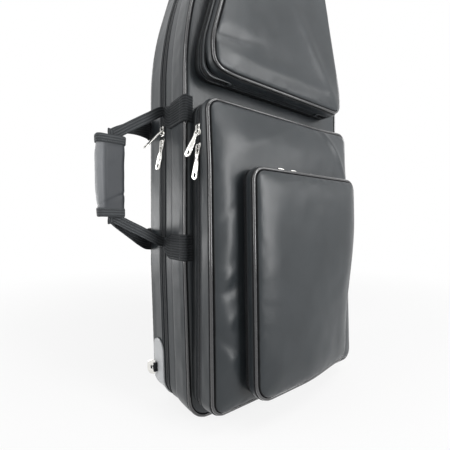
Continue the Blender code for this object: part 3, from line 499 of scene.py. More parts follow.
def tube_faces(rings, sides, closed=False):
    """Faces from ring to ring; a closed tube joins its last ring to its first, another has two ends."""
    count, faces = rings * sides, []
    for ring in range(rings if closed else rings - 1):
        for turn in range(sides):
            a, b = ring * sides + turn, ring * sides + (turn + 1) % sides
            faces.append((a, b, (b + sides) % count, (a + sides) % count))
    return faces if closed else faces + [tuple(range(sides)), tuple(range(count - sides, count))]


def smooth_mesh(name, places, faces, skin, cloth=None):
    """A smooth mesh with one finish; cloth gives each point's place on the cloth, in metres."""
    mesh = bpy.data.meshes.new(name)
    mesh.from_pydata(places, [], faces)
    mesh.materials.append(skin)
    if cloth:
        cloth_map = mesh.uv_layers.new(name="cloth")
        for loop in mesh.loops:
            cloth_map.data[loop.index].uv = cloth[loop.vertex_index]
    mesh.shade_smooth()
    return mesh


def add_piping(name, cut, face_y, outward, node, body, settle=None):
    """The wrapped cord round a panel whose face is at face_y."""
    centre_y, places = face_y - outward * (PIPING_SEAT - PIPING_RADIUS), []
    for k, (point, normal) in enumerate(cut.samples):
        for turn in range(PIPING_SIDES):
            angle = 2 * pi * turn / PIPING_SIDES
            swell = PIPING_RADIUS * (1 + PUCKER * sin(k * 2.4) * cos(angle))
            inner = point - normal * (PIPING_RADIUS - PIPING_SUNK - swell * cos(angle))
            place = Vector((inner.x, centre_y + swell * sin(angle), inner.y))
            places.append(tuple(settle(place) if settle else place))
    mesh = smooth_mesh(name, places, tube_faces(cut.count, PIPING_SIDES, True), piping_vinyl)
    stands_for(turned_out(name, mesh), node, body)


add_piping("back_piping_cord", CASE_CUT, BACK_Y, 1, "back_piping", "base")
add_piping("lid_piping_cord", CASE_CUT, LID_Y, -1, "lid_piping", "lid")


# Pockets: each is a wall of thin black nylon sewn to its carrier, and a door of padded nylon with a piped
# edge. The wall's dark tone is partly painted shade for the gaps between pockets. The cloth is only lightly
# stiffened, so its walls waver and its corners pucker.
POCKET_ZIP_HALF, POCKET_WALL = 0.0060, 0.0020
POCKET_FLOOR = PIPING_SEAT + POCKET_WALL
LARGE_BOX, LARGE_DEPTH, LARGE_ZIP_DEPTH = (-0.167, 0.150, 0.030, 0.458), 0.044, 0.0195
SMALL_BOX, SMALL_DEPTH, SMALL_ZIP_DEPTH = (-0.117, 0.117, 0.048, 0.363), 0.035, 0.0155
UPPER_BOX, UPPER_DEPTH, UPPER_ZIP_DEPTH = (-0.163, 0.135, 0.494, 0.745), 0.040, 0.0190
LARGE_HANGS_FROM, SMALL_HANGS_FROM, UPPER_DRAWN_FROM, LEAN_HINGE = -0.1315, -0.150, -0.118, 0.363
small_root = LID_Y - LARGE_DEPTH


def boxed(left, right, bottom, top, radius, bottom_radius):
    """Corners of the right and left sides of an upright rectangle."""
    return ([(right, bottom, bottom_radius), (right, top, radius)],
            [(left, top, radius), (left, bottom, bottom_radius)])


LARGE_CUT = Cut(*boxed(*LARGE_BOX, 0.020, 0.020), 130, 84)
SMALL_CUT = Cut(*boxed(*SMALL_BOX, 0.020, 0.028), 110, 76)
UPPER_CUT = Cut(*tapered(0.017, 0.045, 0.494, 0.745, 0.018, 0.132, 0.050, 0.470), 84, 84)


def bellied(root_y, depth, side, low):
    """How far a pocket's wall stands out between its root seam and its piping: most where it hangs low."""
    def swell(point, normal, y):
        share = min(1.0, max(0.0, (root_y - y) / depth))
        return sin(pi * share) ** 0.8 * (side + (low - side) * max(0.0, -normal.y)) if 0 < share < 1 else 0.0
    return swell


def large_settle(place):
    """The large pocket's front leans out towards its bottom, with all that it carries."""
    share = between(LARGE_HANGS_FROM - place.y, 0, 0.013)
    lean = 0.021 * (LEAN_HINGE - place.z) - 0.042 * max(0.0, place.z - LEAN_HINGE)
    corner = share * between(place.x, 0.08, 0.150) * between(place.z, 0.39, 0.455) * 0.003
    return Vector((place.x + corner, place.y - share * lean, place.z + corner))


def small_settle(place):
    """The small pocket is slack at its lower right corner, and leans with the front that carries it."""
    slack = between(place.x, -0.03, 0.117) * between(0.30 - place.z, 0, 0.22)
    share = between(SMALL_HANGS_FROM - place.y, 0.004, 0.035)
    drift = slack * share * 0.012 + between(-place.x, 0.02, 0.110) * share * 0.0042
    return large_settle(Vector((place.x - drift, place.y + slack * share * 0.014, place.z)))


def upper_settle(place):
    """The upper pocket is drawn in at its lower left corner, where the cloth is cut to a wider round."""
    share = between(UPPER_DRAWN_FROM - place.y, 0, 0.016)
    drawn = between(-place.x, 0.06, 0.150) * share
    round_off = exp(-((place.x + 0.163) ** 2 + (place.z - 0.494) ** 2) / 0.030 ** 2)
    return Vector((place.x + drawn * (0.0030 + 0.0035 * round_off), place.y, place.z + drawn * 0.0040 * round_off))


LARGE_CUT.swell = bellied(LID_Y, LARGE_DEPTH, 0.0010, 0.0050)
SMALL_CUT.swell = bellied(small_root, SMALL_DEPTH, 0.0010, 0.0035)
UPPER_CUT.swell = bellied(LID_Y, UPPER_DEPTH, 0.0012, 0.0030)


def wall_sag(root_y, rim_y, amount, seed):
    """A pocket's wall wavers between its root seam and its zip."""

    def sag(place):
        free = between(root_y - place.y, 0.001, 0.005) * between(place.y - rim_y, 0.0005, 0.004)
        push = Vector((rumple(place, 0.05, seed), 0, rumple(place, 0.05, seed + 7))) * amount
        push += Vector((rumple(place, 0.02, seed + 3), 0, rumple(place, 0.02, seed + 9))) * amount * 0.5
        return push * free
    return sag


EDGE_ROLL, WALL_WAVER, DOOR_WAVER = 0.0024, 0.0012, 0.0014


def door_sag(box, face_y, rim_y, full, reach, folds, seed):
    """A pocket's door: full in the middle, rolled down to the piping, with folds where the cloth is loose."""
    def sag(place):
        if place.y < face_y + 0.0015:
            deep = edge_distance(place, box)
            high = between(place.z, 0.34, 0.41) if box[3] < 0.5 else 0.0
            out = full * (1 + 0.4 * high) * arched(place, box, reach + 0.020 * high)
            out += EDGE_ROLL * (1 - exp(-max(0.0, deep) / (reach * 0.14)))
            out += rumple(place, 0.08, seed) * 0.0012 * between(deep, 0.004, 0.03)
            out += rumple(place, 0.030, seed + 4) * 0.0006 * between(deep, 0.004, 0.02)
            near = between(0.022 - deep, 0, 0.018) * between(deep, 0.001, 0.004)
            out += near * 0.0007 * rumple(Vector((place.x * 3, 0, place.z * 3)), 0.03, seed + 2)
            return Vector((0, -out - folds(place.x, place.z), 0))
        if place.y < rim_y - 0.0005:
            free = between(place.y - face_y, 0.004, 0.012) * between(rim_y - place.y, 0.0008, 0.006)
            push = Vector((rumple(place, 0.045, seed + 11), 0, rumple(place, 0.045, seed + 12))) * DOOR_WAVER
            return push * free
        return Vector()
    return sag


def add_pocket(stem, cut, box, root_y, depth, zip_depth, full, reach, folds, carrier, body, seed, settle):
    """A pocket's wall, which rides on its carrier, and its door with its piping; gives where its zip runs."""
    zip_y = root_y - zip_depth
    inner_rim, outer_rim, face_y = zip_y + POCKET_ZIP_HALF, zip_y - POCKET_ZIP_HALF, root_y - depth
    rows = steps_between(root_y, inner_rim, 7)
    stations = [(POCKET_WALL, root_y + 0.001, 0)] + [(POCKET_WALL, y, 0) for y in rows]
    stations += [(POCKET_WALL * 0.5, inner_rim - 0.0004, 0), (0.0002, inner_rim, 0)]
    stations += [(0.0, y, 0) for y in steps_between(inner_rim, root_y + 0.001, 8)]
    wall = panel(stem + "_wall", cut, stations, [black_nylon_and_painted_shade], closed=False,
                 sag=wall_sag(root_y, inner_rim, WALL_WAVER, seed), settle=settle)
    # The wall's inner and outer cloth are joined in its root seam.
    shape = bmesh.new()
    shape.from_mesh(wall.data)
    ends = sorted({vertex.index for edge in shape.edges if edge.is_boundary for vertex in edge.verts})
    shape.verts.ensure_lookup_table()
    low, high = ends[:cut.count], ends[cut.count:]
    for k in range(cut.count):
        n = (k + 1) % cut.count
        shape.faces.new([shape.verts[i] for i in (low[k], low[n], high[n], high[k])])
    bmesh.ops.recalc_face_normals(shape, faces=shape.faces)
    shape.to_mesh(wall.data)
    shape.free()
    stands_for(wall, stem + "_gusset", carrier)
    door = panel(stem + "_front", cut, pan(face_y, outer_rim, POCKET_WALL, POCKET_FLOOR, 9),
                 [nylon, nylon, black_nylon_and_painted_shade], settle=settle,
                 sag=door_sag(box, face_y, outer_rim, full, reach, folds, seed + 30))
    stands_for(door, stem + "_door", body)
    add_piping(stem + "_piping_cord", cut, face_y, -1, stem + "_piping", body, settle)
    return zip_y


def large_folds(x, z):
    """A long soft fold down the strip left of the small pocket, with kinks low down."""
    ridge = exp(-((x + 0.1440 - 0.004 * sin(z * 26)) / 0.013) ** 2) * between(z, 0.06, 0.12) * 0.0016
    ridge *= between(0.40 - z, 0, 0.05)
    kinks = sum(exp(-((z - height - (x + 0.15) * slope) / 0.009) ** 2 - ((x + 0.142) / 0.016) ** 2) * size
                for height, slope, size in ((0.292, 0.9, -0.0009), (0.212, 0.5, 0.0015), (0.193, 0.3, -0.0019),
                                            (0.150, 0.6, 0.0014), (0.128, -0.7, -0.0018), (0.098, 0.4, 0.0014)))
    drape = exp(-((z - 0.415 + (x - 0.105) * 1.3) / 0.010) ** 2 - ((x - 0.105) / 0.035) ** 2) * 0.0026
    drape += exp(-((z - 0.388 - (x + 0.12) * 0.5) / 0.012) ** 2 - ((x + 0.02) / 0.09) ** 2) * 0.0014
    return ridge + kinks + drape


def upper_folds(x, z):
    """Soft diagonal folds where the upper pocket's cloth is drawn down to its lower corners."""
    folds = exp(-((z - 0.522) / 0.012) ** 2) * between(x + 0.15, 0.0, 0.04) * between(0.125 - x, 0.0, 0.04) * 0.0022
    folds += exp(-((z - 0.570 - (x + 0.05) * 0.8) / 0.020) ** 2 - ((x + 0.05) / 0.07) ** 2) * 0.0010
    folds -= exp(-((z - 0.547 - (x + 0.14) * 0.1) / 0.009) ** 2 - ((x + 0.125) / 0.045) ** 2) * 0.0036
    return folds + exp(-((z - 0.575 + (x - 0.06) * 1.1) / 0.018) ** 2 - ((x - 0.06) / 0.05) ** 2) * 0.0022


large_zip_y = add_pocket("large_pocket", LARGE_CUT, LARGE_BOX, LID_Y, LARGE_DEPTH, LARGE_ZIP_DEPTH,
                         0.0076, 0.043, large_folds, "lid", "large_door", 40, large_settle)
small_zip_y = add_pocket("small_pocket", SMALL_CUT, SMALL_BOX, small_root, SMALL_DEPTH, SMALL_ZIP_DEPTH,
                         0.0078, 0.043, lambda x, z: 0.0, "large_door", "small_door", 50, small_settle)
upper_zip_y = add_pocket("upper_pocket", UPPER_CUT, UPPER_BOX, LID_Y, UPPER_DEPTH, UPPER_ZIP_DEPTH,
                         0.0022, 0.046, upper_folds, "lid", "upper_door", 60, upper_settle)


# Zips: a moulded coil sewn to the edge of each woven tape, and a narrow folded lip of nylon beside the tape.
# The coils of the two halves lie between each other like fingers.
coil_plastic, thread, shader = finish("zip_coil", (0.014, 0.014, 0.016), 0.38, Specular_IOR_Level=0.35)
rubbed = clouds(thread, 0.006)
dressed(thread, shader, tinted(thread, rubbed, (0.007, 0.007, 0.008), (0.024, 0.025, 0.027)), rubbed * 0.2 + 0.28)
COIL_PITCH, COIL_WIDTH, COIL_LENGTH, COIL_HEIGHT = 0.0020, 0.0010, 0.0034, 0.0018
COIL_CENTRE_INSET, COIL_OVERLAP, GROOVE, ON_SIDE = 0.0013, 0.42, 0.0013, 0.0005


def zip_run(cut, on_hinge):
    """The ring numbers of the samples that the zip follows, in order, from one end of the hinge to the other."""
    kept = [k for k in range(cut.count) if not on_hinge(cut.samples[k][0])]
    start = next(k for k in kept if (k - 1) % cut.count not in set(kept))
    return [(start + n) % cut.count for n in range(len(kept))]


def ribbon(name, cut, run, profile, skin, settle=None):
    """A closed strip along a run of an outline, whose section is the profile of (inset, y)."""
    places, cloth = [], []
    for k in run:
        for inset, y in profile:
            place = cut.at(k, inset, y)
            places.append(tuple(settle(place) if settle else place))
            cloth.append((cut.reach[k] + (cut.length if k < run[0] else 0.0), y))
    faces = tube_faces(len(run), len(profile))
    return turned_out(name, smooth_mesh(name, places, faces, skin, cloth), 50)


REPEAT_SIZES = ("Length", "Width", "Height")


def repeat_tree(name, skin):
    """Geometry Nodes that set a small bead of three sizes on every point, turned by its along and out."""
    tree = bpy.data.node_groups.new(name, "GeometryNodeTree")
    tree.interface.new_socket("Geometry", in_out="INPUT", socket_type="NodeSocketGeometry")
    for label in REPEAT_SIZES:
        tree.interface.new_socket(label, in_out="INPUT", socket_type="NodeSocketFloat").default_value = 0.001
    tree.interface.new_socket("Geometry", in_out="OUTPUT", socket_type="NodeSocketGeometry")

    def node(kind, settings=None, **sockets):
        """A node's first output: its settings come first, then the values or links of its sockets."""
        made = tree.nodes.new(kind)
        for key, value in (settings or {}).items():
            setattr(made, key, value)
        for key, value in sockets.items():
            socket = made.inputs[key.replace("_", " ")]
            if isinstance(value, bpy.types.NodeSocket):
                tree.links.new(value, socket)
            else:
                socket.default_value = value
        return made.outputs[0] if made.outputs else None

    come = tree.nodes.new("NodeGroupInput")
    bead = node("GeometryNodeMeshUVSphere", Segments=8, Rings=5, Radius=0.5)
    sizes = node("ShaderNodeCombineXYZ", **{axis: come.outputs[label] for axis, label in zip("XYZ", REPEAT_SIZES)})
    shaped = node("GeometryNodeTransform", Geometry=bead, Scale=sizes)
    out, along = (node("GeometryNodeInputNamedAttribute", {"data_type": "FLOAT_VECTOR"}, Name=label)
                  for label in ("out", "along"))
    turn = node("FunctionNodeAxesToRotation", {"primary_axis": "Z", "secondary_axis": "X"},
                Primary_Axis=out, Secondary_Axis=along)
    points = node("GeometryNodeMeshToPoints", Mesh=come.outputs["Geometry"])
    placed = node("GeometryNodeInstanceOnPoints", Points=points, Instance=shaped, Rotation=turn)
    smooth = node("GeometryNodeSetShadeSmooth", Geometry=node("GeometryNodeRealizeInstances", Geometry=placed))
    node("NodeGroupOutput", Geometry=node("GeometryNodeSetMaterial", Geometry=smooth, Material=skin))
    return tree


def repeated(name, tree, spots, sizes):
    """One mesh of a small piece on every spot, (place, along, out)."""
    mesh = bpy.data.meshes.new(name + "_spots")
    mesh.from_pydata([tuple(place) for place, _, _ in spots], [], [])
    for label, n in (("along", 1), ("out", 2)):
        written = mesh.attributes.new(label, "FLOAT_VECTOR", "POINT")
        for item, spot in zip(written.data, spots):
            item.vector = spot[n]
    holder = linked(name + "_spots", mesh)
    modifier = holder.modifiers.new("repeat", "NODES")
    modifier.node_group = tree
    for item in tree.interface.items_tree:
        if item.in_out == "INPUT" and item.name in REPEAT_SIZES:
            modifier[item.identifier] = sizes[REPEAT_SIZES.index(item.name)]
    whole = bpy.data.meshes.new_from_object(holder.evaluated_get(bpy.context.evaluated_depsgraph_get()))
    bpy.data.objects.remove(holder, do_unlink=True)
    return linked(name, whole)


def even_spots(line, pitch, start=0.0):
    """Places at an even pitch along a line of (place, out): place, along and out of each."""
    spots, goal, reached = [], start, 0.0
    for (a, out_a), (b, out_b) in zip(line, line[1:]):
        span = (b - a).length
        while span > 0 and goal <= reached + span:
            share = (goal - reached) / span
            spots.append((a.lerp(b, share), (b - a).normalized(), out_a.lerp(out_b, share).normalized()))
            goal += pitch
        reached += span
    return spots


coil_tree = repeat_tree("coil_row", coil_plastic)


def add_zip_half(name, cut, run, centre_y, side, half, node, body, settle=None):
    """One half of a zip: its tape, the lip of nylon beside it and its coil."""
    rim, edge = centre_y + side * (half + 0.0004), centre_y + side * (half - GROOVE)
    tape = ribbon(name + "_tape", cut, run,
                  [(0.0012, centre_y + side * 0.0010), (0.0009, centre_y + side * 0.0036), (0.0010, edge),
                   (0.0030, edge + side * 0.0003), (0.0030, rim), (0.0038, rim), (0.0038, edge - side * 0.0010),
                   (0.0024, edge - side * 0.0014), (0.0024, centre_y + side * 0.0010)], tape_cloth, settle)
    lip = ribbon(name + "_lip", cut, run,
                 [(-0.0002, rim), (-0.0005, rim - side * 0.0003), (-0.0004, rim - side * 0.0009),
                  (0.0004, rim - side * 0.0012), (0.0014, rim - side * 0.0008), (0.0016, rim)], nylon, settle)
    line = []
    for k in run:
        place = cut.at(k, COIL_CENTRE_INSET, centre_y + side * COIL_LENGTH * COIL_OVERLAP)
        normal = cut.samples[k][1]
        line.append((settle(place) if settle else place, Vector((normal.x, 0, normal.y))))
    spots = even_spots(line, COIL_PITCH, COIL_PITCH / 2 if side > 0 else 0.0)
    coil = repeated(name + "_coil", coil_tree, spots, (COIL_WIDTH, COIL_LENGTH, COIL_HEIGHT))
    for made in (tape, lip, coil):
        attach(made, body)
    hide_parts(node)


def between_heights(right_x, low, high):
    """Tells whether a point is on the hinge's stretch of an outline's right side."""
    return lambda point: point.x > right_x - ON_SIDE and low < point.y < high


def between_places(bottom, left, right):
    """Tells whether a point is on the hinge's stretch of an outline's bottom."""
    return lambda point: point.y < bottom + ON_SIDE and left < point.x < right


case_run = zip_run(CASE_CUT, between_heights(HALF_WIDTH, 0.090, 0.445))
large_run = zip_run(LARGE_CUT, between_heights(LARGE_BOX[1], 0.080, 0.408))
small_run = zip_run(SMALL_CUT, between_places(SMALL_BOX[2], -0.059, 0.059))
upper_run = zip_run(UPPER_CUT, between_places(UPPER_BOX[2], -0.115, 0.087))
CLOSINGS = (
    ("lid", CASE_CUT, case_run, PARTING_Y, MAIN_ZIP_HALF, "base", "lid", None),
    ("large_pocket", LARGE_CUT, large_run, large_zip_y, POCKET_ZIP_HALF, "lid", "large_door", large_settle),
    ("small_pocket", SMALL_CUT, small_run, small_zip_y, POCKET_ZIP_HALF, "large_door", "small_door", small_settle),
    ("upper_pocket", UPPER_CUT, upper_run, upper_zip_y, POCKET_ZIP_HALF, "lid", "upper_door", None),
)
for stem, cut, run, centre_y, half, carrier, body, settle in CLOSINGS:
    inner, outer, tape = stem + "_inner", stem + "_outer", "_tape"
    if stem == "lid":
        inner, outer, tape = "back", "lid", "_zip_tape"
    add_zip_half(inner + "_zip", cut, run, centre_y, 1, half, inner + tape, carrier, settle)
    add_zip_half(outer + "_zip", cut, run, centre_y, -1, half, outer + tape, body, settle)


# Sewing: every tape and strap is held by rows of lockstitch in a thick dark thread. Each stitch lies on the
# cloth as a short bead, drawn in at both ends.
sewing_thread, thread, shader = finish("sewing_thread", (0.040, 0.042, 0.046), 0.5)
dressed(thread, shader, tinted(thread, clouds(thread, 0.004), (0.020, 0.021, 0.024), (0.062, 0.066, 0.072)))
STITCH_LENGTH, STITCH_WIDTH, STITCH_HEIGHT, STITCH_PITCH = 0.0026, 0.0007, 0.0005, 0.0034
BACK_ROW, LID_ROW, ROW_INSET = 0.0052, 0.0040, 0.0010
stitch_tree = repeat_tree("stitch_row", sewing_thread)


def stitched(name, lines, body):
    """Rows of stitches along lines of (place, out)."""
    spots = [spot for line in lines for spot in even_spots(line, STITCH_PITCH)]
    made = repeated(name, stitch_tree, spots, (STITCH_LENGTH, STITCH_WIDTH, STITCH_HEIGHT))
    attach(made, body)


for name, body, y in (("back_tape_stitches", "base", back_rim + BACK_ROW),
                      ("lid_tape_stitches", "lid", lid_rim - LID_ROW)):
    row = [(CASE_CUT.at(k, ROW_INSET, y), Vector((CASE_CUT.samples[k][1].x, 0, CASE_CUT.samples[k][1].y)))
           for k in case_run]
    stitched(name, [row], body)


# Hinges: where a zip stops, a folded strip of the same nylon joins its two halves and lets one swing on the
# other. A sewn patch covers each end of the zip.
def hinge_run(cut, run):
    """The ring numbers from the end of a zip round to its start."""
    return [(run[-1] + n) % cut.count for n in range((run[0] - run[-1]) % cut.count + 1)]


def across_gap(name, cut, run, centre_y, reach, insets, thick, settle):
    """A strip of cloth over the gap between two halves."""
    last = len(insets) - 1
    profile = [(inset, centre_y + reach * (1 - 2 * n / last)) for n, inset in enumerate(insets)]
    profile += [(inset + thick, y) for inset, y in profile[::-1]]
    made = ribbon(name, cut, run, profile, nylon, settle)
    centre_y + reach
    centre_y - reach
    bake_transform(made)
    return made


HINGE_FOLD = (0.0024, 0.0008, 0.0004, 0.0006, 0.0012, 0.0006, 0.0004, 0.0008, 0.0024)
END_PATCH = (0.0016, -0.0004, -0.0009, -0.0011, -0.0011, -0.0011, -0.0009, -0.0004, 0.0016)
for stem, cut, run, centre_y, half, carrier, body, settle in CLOSINGS:
    whole = hinge_run(cut, run)
    strip = across_gap(stem + "_hinge_cloth", cut, whole, centre_y, half + 0.0012, HINGE_FOLD, 0.0010,
                       settle)
    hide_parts(stem + "_hinge_strip")
    for place, middle in (("first", whole[0]), ("last", whole[-1])):
        stretch = [(middle + n) % cut.count for n in (-1, 0, 1)]
        across_gap(stem + "_zip_end_" + place, cut, stretch, centre_y, half - 0.0006, END_PATCH, 0.0008,
                   settle)


# Webbing: flat woven strap with ribs along its length. Both ends of each handle loop are sewn to the case
# through a wide anchor; the front loop is folded to a neck where it leaves its anchor.
# Webbing tones: it is one strap. The anchors take a darker tone as painted shade, and the loops, out past x -0.186 to
# -0.222, a lighter tone as a painted highlight from the lamps above.
SHADED_ANCHOR_DARK, SHADED_ANCHOR_LIGHT = (0.008, 0.009, 0.010), (0.030, 0.033, 0.036)
LIT_LOOP_DARK, LIT_LOOP_LIGHT = (0.026, 0.028, 0.030), (0.085, 0.091, 0.096)
RIB_PITCH, WEBBING_THICK = 0.0038, 0.0020
webbing, thread, shader = finish("ribbed_webbing", LIT_LOOP_LIGHT, 0.8, Specular_IOR_Level=0.16)
across, along = woven(thread, 0.0012, RIB_PITCH)
ribs = along * 0.5 + 0.5
shade = ribs * 0.55 + clouds(thread, 0.03) * 0.35 + across * 0.06


def faded(thread, value, low, high, start=0.0, end=1.0):
    """A value that is start below low and end above high, smooth between."""
    return thread.node("MapRange", {"interpolation_type": "SMOOTHSTEP"},
                       {"Value": value, "From Min": low, "From Max": high, "To Min": start, "To Max": end})


# Painted light: the share of the lighter, lit tone, rising outwards from x -0.186 to -0.222.
painted_lit_loop_share = faded(thread, own_places(thread).split()[0] * -1, 0.186, 0.222)
colour = tinted(thread, painted_lit_loop_share, tinted(thread, shade, SHADED_ANCHOR_DARK, SHADED_ANCHOR_LIGHT),
                tinted(thread, shade, LIT_LOOP_DARK, LIT_LOOP_LIGHT))
dressed(thread, shader, colour, ribs * -0.12 + 0.80, ribs * 0.8 + across * along * 0.25, 0.0006, 0.9)
STRAP_COLUMNS = 16


def smooth_through(points, count):
    """count places between each two points of a smooth line through them; a point is any list of numbers."""
    line = []
    for n in range(len(points) - 1):
        a, b = points[max(n - 1, 0)], points[n]
        c, d = points[n + 1], points[min(n + 2, len(points) - 1)]
        for step in range(count + (n == len(points) - 2)):
            t = step / count
            line.append([0.5 * (2 * q + (r - p) * t + (2 * p - 5 * q + 4 * r - s) * t * t
                                + (3 * q - p - 3 * r + s) * t ** 3)
                         for p, q, r, s in zip(a, b, c, d)])
    return line


def strap(name, stations, skin):
    """Webbing through stations of (place, across, out, half width, thickness, squareness of its edges)."""
    places, cloth, reach, sides = [], [], 0.0, 2 * STRAP_COLUMNS
    for n, (place, across, out, half, thick, square) in enumerate(stations):
        reach += (place - stations[n - 1][0]).length if n else 0.0
        for turn in range(sides):
            share = 1 - 2 * turn / STRAP_COLUMNS if turn <= STRAP_COLUMNS else 2 * turn / STRAP_COLUMNS - 3
            share = sin(share * pi / 2)
            up = (1 - abs(share) ** square) ** (1 / square) * (1 if turn < STRAP_COLUMNS else -1)
            places.append(tuple(place + across * half * share + out * thick / 2 * up))
            cloth.append((reach, half * share))
    return turned_out(name, smooth_mesh(name, places, tube_faces(len(stations), sides), skin, cloth), 60)


def upright_strap(name, line, skin):
    """A strap that stands on edge: line is (x, y, height, half width, thickness, squareness)."""
    stations, last = [], None
    for n, (x, y, height, half, thick, square) in enumerate(line):
        before, after = line[max(n - 1, 0)], line[min(n + 1, len(line) - 1)]
        run = Vector([after[i] - before[i] for i in range(3)]).normalized()
        side = Vector((run.y, -run.x, 0))
        level = between(side.length, 0.15, 0.60)
        if last is not None and side.dot(last) < 0:
            side = -side
        out = (side * level + Vector((0, 1, 0)) * (1 - level)).normalized()
        last = out = (out - run * out.dot(run)).normalized()
        stations.append((Vector((x, y, height)), run.cross(out).normalized(), out, half, thick, square))
    return strap(name, stations, skin)


UPPER_NECK, LOWER_NECK, ANCHOR_HALF, ANCHOR_X = 0.462, 0.257, 0.0190, -0.1813
REAR_UPPER_NECK, REAR_LOWER_NECK = UPPER_NECK - 0.013, LOWER_NECK + 0.003
FRONT_ROOT, REAR_ROOT = Vector((-0.1826, PARTING_Y - 0.0085)), Vector((-0.1806, BACK_Y + 0.0030))
WEB_HALF = WEBBING_THICK / 2
FRONT_LINE = ((-0.1672, LID_Y - 0.0004 - WEB_HALF), (-0.1735, LID_Y - 0.0006 - WEB_HALF),
              (-0.1765, LID_Y - 0.0024 - WEB_HALF), (-0.1795, LID_Y - 0.0019 - WEB_HALF),
              (ANCHOR_X, LID_Y + 0.0010), (ANCHOR_X, LID_Y + 0.0060), (ANCHOR_X, -0.086), (-0.1814, -0.072))
REAR_LINE = ((-0.1480, BACK_Y + 0.0004 + WEB_HALF), (-0.1660, BACK_Y + 0.0005 + WEB_HALF),
             (-0.1735, BACK_Y + 0.0008 + WEB_HALF), (-0.1765, BACK_Y + 0.0019 + WEB_HALF),
             (-0.1803, BACK_Y + 0.0030))
# The fold of a front anchor: place, share of its drop, share of its half width, thickness and squareness.
NECK_FOLD = ((-0.1815, -0.064, 0.98, 0.97, 0.0024, 7), (-0.1818, -0.058, 0.75, 0.80, 0.0030, 5),
             (-0.1820, -0.0525, 0.40, 0.60, 0.0036, 3.5), (-0.1822, -0.0480, 0.12, 0.45, 0.0038, 3),
             (-0.1824, -0.0452, 0.0, 0.40, 0.0036, 3))
# For the upper and the lower pair: the neck's height, the front anchor's drop below it and the rear one's height.
ANCHORS = (("upper", UPPER_NECK, 0.013, REAR_UPPER_NECK), ("lower", LOWER_NECK, 0.0055, REAR_LOWER_NECK))
for place, neck, below, rear_height in ANCHORS:
    wide = [(x, y, neck - below, ANCHOR_HALF, WEBBING_THICK, 9) for x, y in FRONT_LINE]
    taper = [(x, y, neck - below * drop, ANCHOR_HALF * width, thick, square)
             for x, y, drop, width, thick, square in NECK_FOLD]
    made = upright_strap("front_anchor_webbing_" + place, smooth_through(wide + taper, 4), webbing)
    stands_for(made, "front_strap_anchor_" + place, "lid")
    flat = [(x, y, rear_height, ANCHOR_HALF, WEBBING_THICK, 9) for x, y in REAR_LINE]
    made = upright_strap("rear_anchor_webbing_" + place, smooth_through(flat, 5), webbing)
    stands_for(made, "rear_strap_anchor_" + place, "base")


# Handle loops: one on each half, of the same webbing, which runs out of its upper anchor, through the grip and
# back to its lower one. The shares say how far out, and how far towards the grip, a loop has come.
GRIP_X, GRIP_LOW, GRIP_HIGH = -0.261, 0.2965, 0.4115
IN_GRIP, IN_GRIP_X, IN_GRIP_HALF = 0.0013, -0.2575, 0.0072
REAR_SHARES = ((0.0, 0.0), (0.11, 0.0), (0.30, 0.11), (0.52, 0.29), (0.74, 0.50), (0.92, 0.74), (1.0, 0.88),
               (1.0, 1.0))
FRONT_SHARES = ((0.0, 0.0), (0.11, 0.07), (0.30, 0.26), (0.52, 0.475), (0.74, 0.69), (0.92, 0.88), (1.0, 0.96),
                (1.0, 1.0))


def loop_line(root, necks, shares, side, straight, root_half, narrowing, thick):
    """The stations of a handle loop, from its upper root through the grip to its lower root."""
    in_grip_y, line = PARTING_Y + side * IN_GRIP, []
    for neck, end in zip(necks, (GRIP_HIGH, GRIP_LOW)):
        half = []
        for out, drop in shares:
            closing, flat = max(0.0, (out - straight) / (1 - straight)), min(1, out * 1.4)
            width = root_half + (IN_GRIP_HALF - root_half) * min(1.0, out * narrowing)
            half.append((root.x + (IN_GRIP_X - root.x) * out, root.y + (in_grip_y - root.y) * closing,
                         neck + (end - neck) * drop, width, thick + (WEBBING_THICK - thick) * flat, 3 + 5 * flat))
        line += half if not line else half[::-1]
    return line


for end, body, root, spread in (
    ("front", "lid", FRONT_ROOT, ((UPPER_NECK, LOWER_NECK), FRONT_SHARES, -1, 0.51, 0.0074, 1.0, 0.0036)),
    ("rear", "base", REAR_ROOT,
     ((REAR_UPPER_NECK, REAR_LOWER_NECK), REAR_SHARES, 1, 0.05, 0.0190, 1.5, WEBBING_THICK)),
):
    made = upright_strap(end + "_loop_webbing", smooth_through(loop_line(root, *spread), 7), webbing)
    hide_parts(end + "_handle_loop")
    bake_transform(made)


# Grip wrap: coated cloth over foam, folded round both loops with its flap sewn down the front, and a dark
# binding turned over each end.
GRIP_DARK, GRIP_LIGHT = (0.024, 0.027, 0.031), (0.042, 0.046, 0.052)
# The pale tone painted on the wrap's left flank as a highlight.
GRIP_PAINTED_HIGHLIGHT = (0.205, 0.212, 0.222)
GRIP_WALL, GRIP_HALF, GRIP_ROUND = 0.0040, 0.0180, 0.0054
GRIP_FRONT, GRIP_BACK = PARTING_Y - 0.0066, PARTING_Y + 0.0053
coated, thread, shader = finish("coated_grip_cloth", GRIP_LIGHT, 0.55, Specular_IOR_Level=0.32)
leather = thread.node("TexVoronoi", {"feature": "DISTANCE_TO_EDGE"}, {"Vector": own_places(thread), "Scale": 650.0})
rubbed = clouds(thread, 0.02)
# Painted highlight: the wrap's left flank, out past x -0.266 to -0.282, is painted lighter where the side lamps catch
# it.
wear_and_painted_highlight = faded(thread, own_places(thread).split()[0] * -1, 0.266, 0.282)
colour = tinted(thread, wear_and_painted_highlight, tinted(thread, rubbed * 0.9, GRIP_DARK, GRIP_LIGHT), GRIP_PAINTED_HIGHLIGHT)
dressed(thread, shader, colour, rubbed * 0.16 + 0.46, leather * 0.6 + clouds(thread, 0.003) * 0.5, 0.0003, 0.55)


